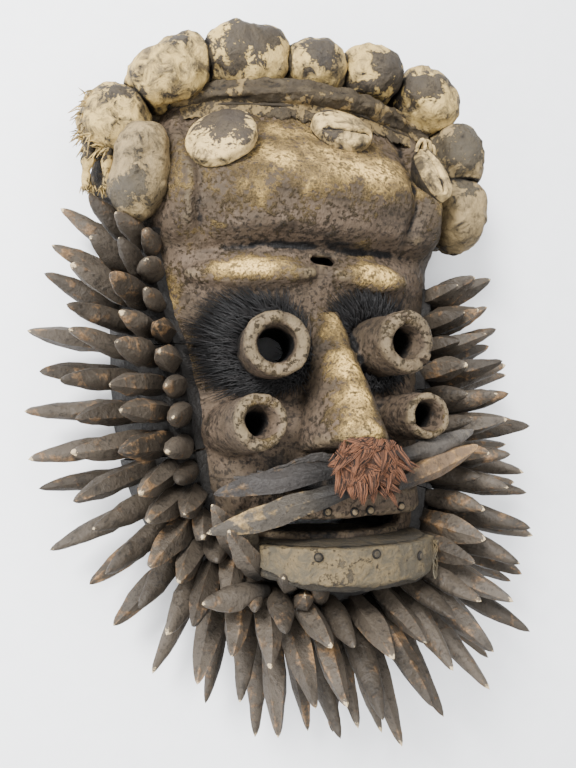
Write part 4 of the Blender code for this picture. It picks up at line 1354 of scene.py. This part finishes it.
def makeLowerLip():
    shape = lentil(
        lipY + 0.0010, lipSizes["boardThickness"],
        features["lowerLipRise"] - 0.0022, features["lipHalfWidth"] * 0.97,
    )
    shape = remeshed(shape, 0.0014)
    smoothed(shape, 2)
    roughen(shape, 0.0010, 60, 9.0)
    bare, soot = layer(shape, "bare"), layer(shape, "soot")
    for vert in shape.verts:
        vert[bare] = 0.8
        # darker on the board's lower half
        vert[soot] = 0.45 * step(lipY - vert.co.y, -0.006, 0.006)
    addShape(shape, lipCover(-0.0002, 0.0035, 0.0014, 3.0), bare=0.9, soot=0.55)
    cover = lipCover(lipSizes["coverLift"], 0.0, lipSizes["coverRagged"], 8.0)
    addShape(shape, cover, bare=0.30, soot=0.0)
    for x, y in lipSizes["nails"]:
        angle = math.degrees(math.asin((x - lipX) / features["lipHalfWidth"]))
        out = pointing(lipPoint(angle, y, 0.01) - lipPoint(angle, y))
        for size, raised, dark in ((0.0028, 0.0022, 0.95), (0.0019, 0.0030, 0.30)):
            nail = ball(lipPoint(angle, y, raised), (size, size, size * 0.45), out, 16, 8)
            addShape(shape, nail, bare=0.9, soot=dark)
    threads, sizes = [], []
    draw = random.Random(21)
    for number in range(lipSizes["threads"]):
        angle = 58 + 1.6 * number
        line = []
        for t in spread(0, 1, 8):
            lift = 0.0026 + 0.0012 * math.sin(7 * t + number)
            point = lipPoint(angle + 3 * math.sin(5 * t + number), lipY + 0.008 - 0.022 * t, lift)
            line.append(point + Vector((draw.uniform(-0.0006, 0.0006), 0, 0)))
        threads.append(line)
        sizes.append([lipSizes["threadRadius"]] * len(line))
    addShape(shape, tubeAlong(threads, sizes, 1), bare=0.0, soot=0.1)
    slab = remeshed(block(*lipSizes["slab"]), 0.0012)
    roughen(slab, 0.0010, 90, 2.0)
    addShape(shape, slab, bare=0.75, soot=0.15)
    markRelief(shape, 2.0, 2)
    print("lower lip:", len(shape.faces), "faces")
    finishPiece("lower_lip", shape, "lip")


makeLowerLip()


# Pegs

pegProfile = (
    (0.00, 0.55), (0.10, 0.70), (0.26, 0.92), (0.42, 1.02), (0.58, 1.00),
    (0.74, 0.84), (0.87, 0.56), (0.96, 0.30), (1.00, 0.00),
)


pegSharpFrom = 24


def addPeg(shape, root, direction, length, radius, bend=0.0, tone=0.5, seed=0.0, rings=16):
    # a carved peg with adze-cut sides, from its root to its point
    alongLayer, toneLayer, edgeLayer = layer(shape, "along"), layer(shape, "tone"), layer(shape, "edge")
    facets = 5 + int(seed * 7.3) % 2
    verts = bmesh.ops.create_uvsphere(shape, u_segments=facets * 3, v_segments=rings, radius=1.0)["verts"]
    place = Matrix.Translation(root) @ pointing(direction) @ Matrix.Rotation(seed * 5, 4, "Z")
    wide = 1 + 0.10 * math.sin(seed * 11)
    for vert in verts:
        share = (1 - math.cos(math.pi * (vert.co.z + 1) / 2)) / 2
        share = 0.35 * share + 0.65 * (vert.co.z + 1) / 2
        turn = math.atan2(vert.co.y, vert.co.x)
        third = (turn * facets / (2 * math.pi)) % 1.0
        corner = 1.0 if min(third, 1 - third) < 0.1 else 0.0
        flat = 1.09 if corner else 0.92
        flat += 0.22 * wobble(Vector((math.cos(turn) * 0.6, math.sin(turn) * 0.6, share * 5)), 0.9, seed * 3)
        reach = radius * smoothCurve(pegProfile, share) * flat
        if share < 1e-4 or share > 1 - 1e-4:
            reach = 0.0
        sway = bend * length * share**2
        side = 0.035 * length * math.sin(math.pi * share + seed * 4) * share
        vert.co = place @ Vector((
            reach * wide * math.cos(turn) + side, reach / wide * math.sin(turn) + sway, length * share,
        ))
        vert[alongLayer], vert[toneLayer], vert[edgeLayer] = share, tone, corner
    return verts


# short pegs that crowd under the left corner of the mouth: root, tip, radius
looseSizes = {
    "pegs": (
        ((-0.0445, -0.1144, 0.112), (-0.0728, -0.0861, 0.137), 0.0066),
        ((-0.0390, -0.1242, 0.106), (-0.0810, -0.1231, 0.127), 0.0070),
        ((-0.0241, -0.1227, 0.105), (-0.0386, -0.1070, 0.140), 0.0062),
        ((-0.0119, -0.1375, 0.092), (-0.0273, -0.1243, 0.130), 0.0060),
        ((0.0000, -0.1348, 0.095), (-0.0150, -0.1200, 0.133), 0.0060),
        ((-0.0554, -0.1057, 0.102), (-0.0743, -0.0680, 0.120), 0.0062),
    ),
    "fibres": 16,
}


def makeFibres():
    # dry roots that lie along the upper pegs' left side
    draw = random.Random(31)
    lines, sizes = [], []
    for _ in range(looseSizes["fibres"]):
        start = Vector((-0.006, -0.0445 - draw.uniform(0, 0.004), 0.131))
        end = Vector((-0.060 + draw.uniform(-0.006, 0.016), -0.053 + draw.uniform(-0.004, 0.004), 0.122))
        line = []
        for t in spread(0, 1, 12):
            sway = Vector((0, 0.0035 * math.sin(5 * t + draw.uniform(0, 0.6)), 0.004 * math.sin(math.pi * t)))
            line.append(start.lerp(end, t) + sway)
        lines.append(line)
        sizes.append([draw.uniform(0.0004, 0.0009)] * len(line))
    return tubeAlong(lines, sizes, 1)


whiskerSizes = {
    # root x, root y, rise, run to the tip, radius, tone, finish
    "whisker_upper_left": (-0.006, -0.050, 0.005, (-0.070, -0.014, -0.024), 0.0062, 0.2, "darkPeg"),
    "whisker_lower_left": (-0.003, -0.062, 0.010, (-0.078, -0.022, -0.024), 0.0074, 0.6, "creamPeg"),
    "whisker_upper_right": (0.024, -0.046, 0.004, (0.073, 0.016, -0.026), 0.0062, 0.6, "greyPeg"),
    "whisker_lower_right": (0.024, -0.060, 0.010, (0.070, 0.020, -0.026), 0.0066, 0.7, "tanPeg"),
}


def makeWhiskers():
    for count, (node, (x, y, rise, run, radius, tone, finish)) in enumerate(whiskerSizes.items()):
        shape = bmesh.new()
        root = Vector((x, y, onFace(0, features["upperLipY"], features["upperLipRise"]).z + rise))
        run = Vector(run)
        addPeg(shape, root, run, run.length, radius * 0.94, 0.0, tone, 0.4 + count, 30)
        if node == "whisker_upper_left":
            addShape(shape, makeFibres(), along=0.6, tone=0.4, edge=0.3)
        finishPiece(node, shape, finish, pegSharpFrom)


makeWhiskers()
print("whisker pegs made")


# Beard

beardSizes = {
    "start": 153.0,
    "stop": 375.0,
    "back": 0.010,
    "templeReach": 0.018,
    "jawReach": 0.036,
    "chinFront": 0.094,
    "thickness": 0.009,
    "sectors": 8,
    "sectorMargin": 0.20,
    "outerSpikes": 28,
    "outerStart": 0.45,
    "spikesPerSector": 4,
    "rowStagger": 0.14,
    "chinExtraLength": 0.025,
    "fan": 0.70,
    "templeShorter": 0.35,
    "chinSide": 0.22,
    "rootSink": 0.006,
    # how far spikes stray: sideways, in degrees of lift, and as shares of length and radius
    "strayAside": 0.07,
    "strayLift": 4,
    "strayLength": 0.10,
    "strayRadius": 0.10,
    "strayBend": 0.05,
    # root's share of the way up the band, lift in degrees, length, radius
    "rows": (
        (0.20, 15, 0.071, 0.0068),
        (0.54, 37, 0.070, 0.0075),
        (0.76, 53, 0.063, 0.0076),
        (0.90, 70, 0.050, 0.0072),
    ),
}


def beardReach(degrees):
    turn = (degrees - beardSizes["start"]) / (beardSizes["stop"] - beardSizes["start"])
    besideMouth = math.sin(2 * math.pi * turn) ** 2
    return beardSizes["templeReach"] + (beardSizes["jawReach"] - beardSizes["templeReach"]) * besideMouth


def beardHeight(degrees):
    place, _ = outlinePoint(degrees, -beardReach(degrees))
    return min(faceHeight(place.x, place.y), beardSizes["chinFront"])


def beardCorners(degrees):
    back, front = beardSizes["back"], beardHeight(degrees)
    corners = []
    for share in (0.0, 0.25, 0.5, 0.75, 1.0):
        place, normal = wallPoint(degrees, back + (front - back) * share)
        corners.append(place + normal * (beardSizes["thickness"] * (1 - 0.3 * share) - 0.0005))
    corners[0].z = back
    inside, _ = outlinePoint(degrees, -beardReach(degrees) - 0.012)
    corners.append(inside + Vector((0, 0, corners[-1].z - 0.003)))
    corners.append(inside + Vector((0, 0, back)))
    return corners


def beardAngles():
    # directions at even steps along the band
    samples = 240
    angles = spread(beardSizes["start"], beardSizes["stop"], samples)
    lengths = [0.0]
    for first, second in zip(angles, angles[1:]):
        lengths.append(lengths[-1] + (outlinePoint(second)[0] - outlinePoint(first)[0]).length)
    return angles, lengths


beardSteps = beardAngles()


def beardAngle(share):
    angles, lengths = beardSteps
    wanted = share * lengths[-1]
    for i in range(len(angles) - 1):
        if lengths[i + 1] >= wanted:
            part = (wanted - lengths[i]) / (lengths[i + 1] - lengths[i])
            return angles[i] + (angles[i + 1] - angles[i]) * part
    return angles[-1]


def wander(number, phase):
    return math.sin(number * 2.399 + phase) * 0.6 + math.sin(number * 5.13 + 2.7 * phase) * 0.4


def addSpike(shape, row, share, number):
    climb, lift, length, radius = beardSizes["rows"][row]
    degrees = beardAngle(share)
    back = beardSizes["back"]
    root, _ = wallPoint(degrees, back + (beardHeight(degrees) - back) * climb)
    _, normal = outlinePoint(degrees)
    along = Vector((-normal.y, normal.x, 0))
    underChin = math.exp(-(((share - 0.5) / 0.20) ** 2))
    towardsEnd = abs(2 * share - 1) ** 4
    fan = beardSizes["fan"] * towardsEnd * (-1 if share < 0.5 else 1)
    fan += beardSizes["strayAside"] * wander(number, row)
    lift = math.radians(lift + beardSizes["strayLift"] * wander(number, row + 4.1))
    flat = (normal + along * fan).normalized()
    direction = flat * math.cos(lift) + Vector((0, 0, math.sin(lift)))
    length *= 1 + beardSizes["strayLength"] * wander(number, row + 1.3)
    length *= 1 - beardSizes["templeShorter"] * towardsEnd
    length += beardSizes["chinExtraLength"] * underChin * math.cos(lift)
    length *= 1 + beardSizes["chinSide"] * (bell(share, 0.63, 0.10) - bell(share, 0.37, 0.10))
    radius *= 1 + beardSizes["strayRadius"] * wander(number, row + 2.2)
    tone = 0.5 + 0.5 * wander(number, row * 3.1 + 0.7)
    seed = abs(wander(number, row * 1.9 + 0.2)) * 3 + 0.1
    root -= direction * beardSizes["rootSink"]
    length += beardSizes["rootSink"]
    bend = beardSizes["strayBend"] * wander(number, row + 3.3)
    addPeg(shape, root, direction, length, radius, bend, tone, seed)


def makeBeard():
    sizes = beardSizes
    sectorShare = 1 / sizes["sectors"]
    for sector in range(sizes["sectors"]):
        start, stop = beardAngle(sector * sectorShare), beardAngle((sector + 1) * sectorShare)
        shape = bmesh.new()
        alongLayer, toneLayer = layer(shape, "along"), layer(shape, "tone")
        directions = spread(start + sizes["sectorMargin"], stop - sizes["sectorMargin"], 12)
        # the band gets the spikes' dark root colour: painted shade in the gaps between the spikes
        for vert in ringStrip(directions, beardCorners, shape):
            vert[alongLayer], vert[toneLayer] = 0.10, 0.2
        roughen(shape, 0.001, 70, sector * 2.0)
        for row in (1, 2, 3):
            for k in range(sizes["spikesPerSector"]):
                place = (k + 0.5 + sizes["rowStagger"] * (row - 2)) / sizes["spikesPerSector"]
                addSpike(shape, row, (sector + place) * sectorShare, sector * sizes["spikesPerSector"] + k)
        if sector == 3:
            for count, (root, tip, radius) in enumerate(looseSizes["pegs"]):
                run = Vector(tip) - Vector(root)
                addPeg(shape, Vector(root), run, run.length, radius, 0.08, 0.6, 0.3 + count * 0.4)
        finishPiece(f"beard_{sector + 1}", shape, "spike", pegSharpFrom)
    for number in range(sizes["outerSpikes"]):
        shape = bmesh.new()
        addSpike(shape, 0, (number + sizes["outerStart"]) / sizes["outerSpikes"], number)
        finishPiece(f"outer_spike_{number + 1:02d}", shape, "spike", pegSharpFrom)


makeBeard()
print("beard made")


# Hair

hairSizes = {
    # x, y, rise and half sizes
    "tuft": (0.005, -0.047, 0.042, 0.021, 0.018, 0.008),
    "tuftStrands": 2600,
    "tuftClumps": 60,
    # x, y and half sizes
    "eyes": {
        "eye_hair_left": (-0.046, 0.024, 0.040, 0.038),
        "eye_hair_right": (0.036, 0.028, 0.040, 0.038),
    },
    "eyeStrands": 2600,
    # a strand's radius from root to tip
    "eyeThickness": (0.00035, 0.00032, 0.00024, 0.00006),
    "tuftThickness": (0.00032, 0.00026, 0.00005),
}


def addTone(shape, draw):
    # each strand gets a tone of its own
    tone = layer(shape, "tone")
    seen = set()
    for start in shape.verts:
        if start in seen:
            continue
        front, value = [start], draw.random()
        while front:
            vert = front.pop()
            if vert not in seen:
                seen.add(vert)
                vert[tone] = value
                front += [edge.other_vert(vert) for edge in vert.link_edges]


def makeEyeHair(node, x, y, halfWidth, halfHeight):
    draw = random.Random(len(node) + int(x * 1000))
    key = "upperLeft" if x < 0 else "upperRight"
    tubeX, tubeY = features["tubes"][key][:2]
    tubeRadius = features["tubes"][key][4]
    lines, sizes = [], []
    for _ in range(hairSizes["eyeStrands"]):
        turn = draw.uniform(0, 2 * math.pi)
        start = tubeRadius * draw.uniform(0.85, 1.35)
        reach = draw.uniform(0.5, 1.0)
        rootX, rootY = tubeX + start * math.cos(turn), tubeY + start * math.sin(turn)
        endX = x + halfWidth * reach * math.cos(turn + draw.uniform(-0.3, 0.3))
        endY = y + halfHeight * reach * math.sin(turn + draw.uniform(-0.3, 0.3))
        lift = draw.uniform(0.002, 0.010)
        line = []
        for t in spread(0, 1, 3):
            px, py = rootX + (endX - rootX) * t, rootY + (endY - rootY) * t
            line.append(onFace(px, py, 0.001 + lift * math.sin(math.pi * (0.15 + 0.75 * t))))
        lines.append(line)
        sizes.append(hairSizes["eyeThickness"])
    shape = tubeAlong(lines, sizes, 0)
    addTone(shape, draw)
    finishPiece(node, shape, "hair")


def makeTuft():
    draw = random.Random(5)
    x, y, rise, halfX, halfY, halfZ = hairSizes["tuft"]
    centre = onFace(x, y, rise)
    shape = ball(centre - Vector((0, 0, 0.003)), (halfX * 0.8, halfY * 0.8, halfZ * 0.8), None, 24, 14)
    roughen(shape, 0.002, 120, 1.0)
    clumps = []
    for _ in range(hairSizes["tuftClumps"]):
        way = Vector((draw.uniform(-0.9, 0.9), draw.uniform(-1.3, -0.2), draw.uniform(-0.1, 0.5)))
        clumps.append((draw.uniform(-1, 1), draw.uniform(-1, 1), way.normalized() * draw.uniform(0.005, 0.015)))
    lines, sizes = [], []
    for _ in range(hairSizes["tuftStrands"]):
        u, v = draw.uniform(-1, 1), draw.uniform(-1, 1)
        if abs(u) ** 3 + abs(v) ** 3 > 1 + 0.25 * wobble(Vector((u, v, 0)), 2.5, 4.0):
            continue
        narrow = 1 - 0.30 * max(-v, 0.0)
        root = centre + Vector((u * halfX * narrow, v * halfY * 0.85, halfZ * (0.40 - 0.45 * (u * u + v * v))))
        middleU, middleV, flow = min(clumps, key=lambda clump: (clump[0] - u) ** 2 + (clump[1] - v) ** 2)
        gather = Vector(((middleU - u) * halfX, (middleV - v) * halfY, 0)) * 0.55
        tip = root + flow * draw.uniform(0.7, 1.1) + gather
        lines.append([root, root + flow * 0.5 + gather * 0.4 + Vector((0, 0, 0.0012)), tip])
        sizes.append(hairSizes["tuftThickness"])
    addShape(shape, tubeAlong(lines, sizes, 0))
    addTone(shape, draw)
    finishPiece("nose_tuft", shape, "fur")


for hairNode, hairSize in hairSizes["eyes"].items():
    makeEyeHair(hairNode, *hairSize)
makeTuft()
print("hair made")


# Floor, light and camera

stageSizes = {
    "cameraAzimuth": 19.0,
    "cameraElevation": -2.0,
    "cameraDistance": 0.500,
    "cameraTarget": (-0.015, 0.0, 0.075),
    "floorHalf": 3.0,
    # name, place, watts and width
    "lamps": (
        ("keyLamp", (-0.9, 0.8, 1.3), 84, 0.5),
        ("leftLamp", (-1.2, -0.5, 0.9), 24, 0.8),
        ("topLamp", (0.3, 0.2, 1.8), 30, 1.6),
    ),
}


def makeStage():
    shape = bmesh.new()
    bmesh.ops.create_grid(shape, x_segments=1, y_segments=1, size=stageSizes["floorHalf"])
    floor = bpy.data.objects.new("floor", meshFrom(shape, "floor"))
    bpy.context.scene.collection.objects.link(floor)
    finish = Finish("paleFloor", Specular_IOR_Level=0.2)
    speckle = finish.noise(60, 3)
    colour = finish.mix(speckle.between(0.3, 0.7), (0.93, 0.94, 0.96, 1), (0.95, 0.96, 0.98, 1))
    floor.data.materials.append(finish.close(colour, 0.7 + speckle * 0.1, ((speckle, 0.0001),)))
    floor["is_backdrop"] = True


def addLamp(name, place, energy, size):
    light = bpy.data.lights.new(name, "AREA")
    light.energy, light.size = energy, size
    lamp = bpy.data.objects.new(name, light)
    lamp.location = place
    lamp.rotation_euler = (Vector((0, 0, 0.05)) - Vector(place)).to_track_quat("-Z", "Y").to_euler()
    bpy.context.scene.collection.objects.link(lamp)


def addCamera():
    a = math.radians(stageSizes["cameraAzimuth"])
    b = math.radians(stageSizes["cameraElevation"])
    back = Vector((-math.sin(a) * math.cos(b), math.sin(b), math.cos(a) * math.cos(b)))
    right = Vector((math.cos(a), 0, math.sin(a)))
    up = back.cross(right)
    camera = bpy.data.cameras.new("camera")
    camera.lens, camera.sensor_width = 36, 36
    obj = bpy.data.objects.new("camera", camera)
    turn = Matrix((right, up, back)).transposed().to_4x4()
    place = Vector(stageSizes["cameraTarget"]) + back * stageSizes["cameraDistance"] + shift
    obj.matrix_world = Matrix.Translation(place) @ turn
    bpy.context.scene.collection.objects.link(obj)
    bpy.context.scene.camera = obj


makeStage()
for lampSizes in stageSizes["lamps"]:
    addLamp(*lampSizes)
world = bpy.data.worlds.new("studio")
world.use_nodes = True
world.node_tree.nodes["Background"].inputs[0].default_value = (0.95, 0.97, 1.0, 1)
world.node_tree.nodes["Background"].inputs[1].default_value = 1.0
bpy.context.scene.world = world
addCamera()
print("stage set")

boxes = {"cad": cadBox, "visual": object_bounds()}
boxes = {key: [[round(c, 5) for c in corner] for corner in box] for key, box in boxes.items()}
